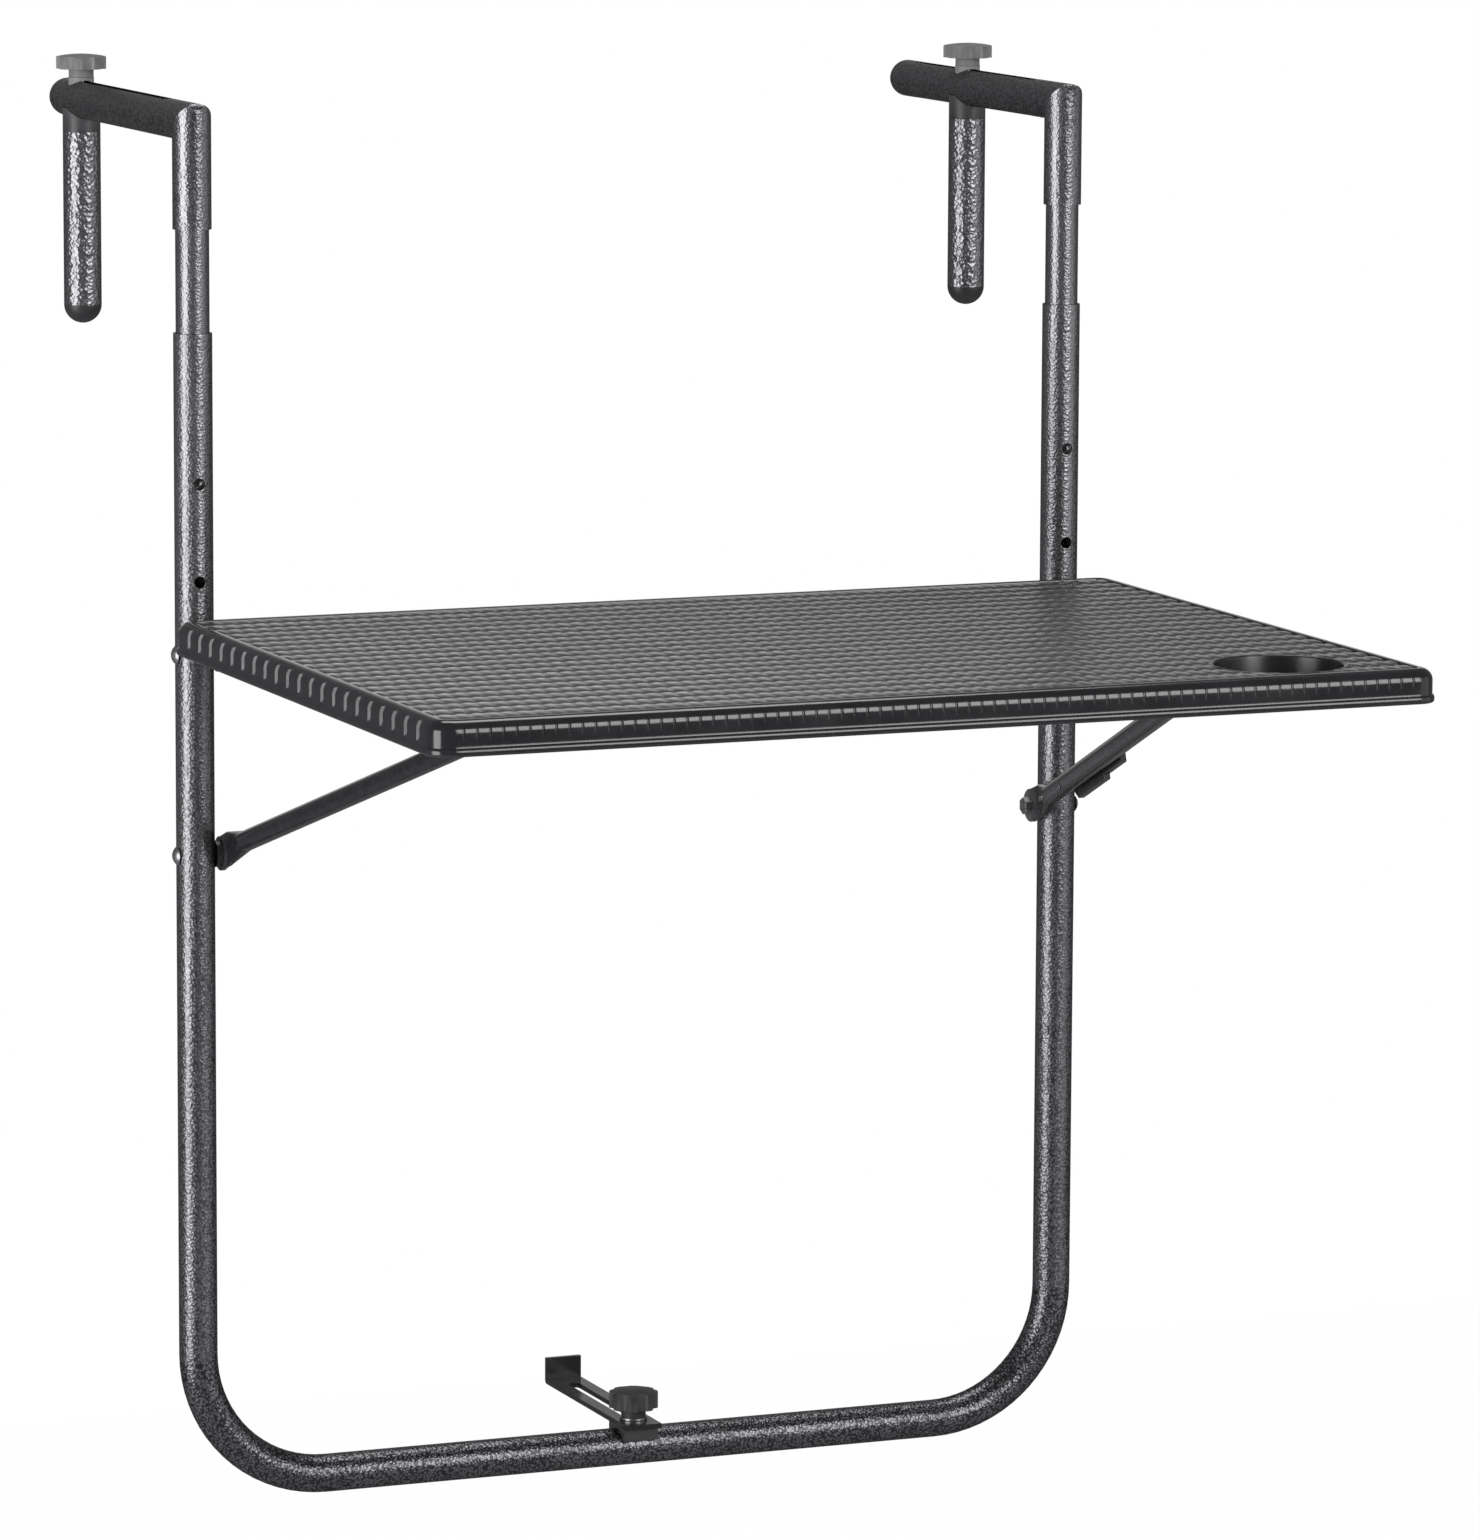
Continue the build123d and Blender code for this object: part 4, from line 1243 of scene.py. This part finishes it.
@dataclass
class Studio:
    """Camera, lamps, floor and backdrop, in metres, with lens and sensor in millimetres."""

    lens: float = 188.43
    sensor: float = 36.0
    sight: float = 50.0
    spot: Triple = (-1.77007, -4.48805, 0.34346)
    right: Triple = (0.925606, -0.378462, 0.004528)
    up: Triple = (0.052458, 0.140127, 0.988743)
    floor_level: float = -1.30
    floor_half: float = 2.2
    floor_paint: tuple[Colour, Colour] = ((0.48, 0.48, 0.49), (0.54, 0.54, 0.55))
    floor_speck: float = 0.4
    floor_rough: float = 0.8
    floor_white: float = 0.94
    floor_glow: float = 1.047
    room_colour: Colour = (0.96, 0.97, 1.0)
    room_light: float = 0.15
    wall_share: float = 0.72
    wall_side: Span = (0.86, 0.95)
    wall_foot: Span = (-0.04, 0.02)
    wall_top: Span = (0.17, 0.32)
    wall_way: Triple = (0.331, 0.944, 0.0)

    def build(self) -> None:
        """Set up the whole studio."""
        self.camera()
        self.world()
        self.floor()
        for lamp in LAMPS:
            lamp.hang()
        bpy.context.scene.view_settings.view_transform = "Standard"

    def camera(self) -> None:
        """Camera at the angle and distance of the photograph."""
        data = bpy.data.cameras.new("camera")
        data.lens = self.lens
        data.sensor_width = self.sensor
        data.clip_end = self.sight
        camera = bpy.data.objects.new("camera", data)
        right, up = Vector(self.right), Vector(self.up)
        turned = Matrix((right, up, right.cross(up))).transposed().to_4x4()
        camera.matrix_world = Matrix.Translation(self.spot) @ turned
        bpy.context.scene.collection.objects.link(camera)
        bpy.context.scene.camera = camera

    def world(self) -> None:
        """Room that is white to the camera and dim elsewhere, with its rear wall in reflections."""
        world = bpy.data.worlds.new("room")
        bpy.context.scene.world = world
        world.use_nodes = True
        nodes = Nodes(world.node_tree)
        white = nodes.glow(Glow.ROOM, WHITE, 1.0)
        room = nodes.glow(Glow.ROOM, self.room_colour, self.room_light)
        seen = nodes.add("ShaderNodeLightPath").outputs
        mirrored = nodes.combined(Join.LARGER, seen["Is Glossy Ray"], seen["Is Transmission Ray"])
        wall = nodes.combined(Join.PRODUCT, self.rear_wall(nodes), mirrored)
        share = nodes.combined(Join.LARGER, wall, seen["Is Camera Ray"])
        output = nodes.add("ShaderNodeOutputWorld")
        nodes.link(nodes.blended(share, room, white), output.inputs["Surface"])

    def rear_wall(self, nodes: Nodes) -> Socket:
        """How much of the pale rear wall lies in a direction.

        Args:
            nodes: Nodes of the world.

        Returns:
            Value socket.
        """
        around = nodes.add("ShaderNodeTexCoord").outputs["Generated"]
        facing = nodes.add("ShaderNodeVectorMath")
        facing.operation = "DOT_PRODUCT"
        facing.inputs[1].default_value = self.wall_way
        nodes.link(around, facing.inputs[0])
        toward = nodes.add("ShaderNodeSeparateXYZ")
        nodes.link(around, toward.inputs["Vector"])
        rear = nodes.spread(facing.outputs["Value"], self.wall_side, (0.0, self.wall_share))
        above = nodes.spread(toward.outputs["Z"], self.wall_foot, FULL)
        below = nodes.spread(toward.outputs["Z"], self.wall_top, (1.0, 0.0))
        band = nodes.combined(Join.PRODUCT, above, below)
        return nodes.combined(Join.PRODUCT, rear, band)

    def floor(self) -> None:
        """Plain pale floor well below the hanging table."""
        mesh = bmesh.new()
        bmesh.ops.create_grid(mesh, x_segments=1, y_segments=1, size=self.floor_half)
        data = bpy.data.meshes.new("floor")
        mesh.to_mesh(data)
        mesh.free()
        floor = bpy.data.objects.new("floor", data)
        floor.location.z = self.floor_level
        bpy.context.scene.collection.objects.link(floor)
        data.materials.append(self.pale())

    def pale(self) -> bpy.types.Material:
        """Floor paint that is white to the camera and keeps a faint shadow.

        Returns:
            The material.
        """
        bench = Bench("pale_floor")
        shader = bench.surface.inputs
        speck = bench.noise(self.floor_speck, detail=3.0)
        bench.link(bench.mixed(speck, *self.floor_paint), shader["Base Color"])
        shader["Roughness"].default_value = self.floor_rough
        glow = bench.glow(Glow.SURFACE, WHITE, self.floor_glow)
        seen = bench.add("ShaderNodeLightPath").outputs["Is Camera Ray"]
        share = bench.spread(seen, FULL, (0.0, self.floor_white))
        mix = bench.blended(share, bench.surface.outputs["BSDF"], glow)
        bench.link(mix, bench.output.inputs["Surface"])
        return bench.material


def main() -> None:
    """Build and dress the table piece by piece, then set up the studio."""
    logging.basicConfig(level=logging.INFO, format="%(message)s")
    workshop = Workshop()
    Hardware(workshop).dress()
    for side in Side:
        SnapClip(workshop, side).build()
    BraceCatch(workshop).build()
    TableTop(workshop).build()
    Studio().build()


if __name__ == "__main__":
    main()
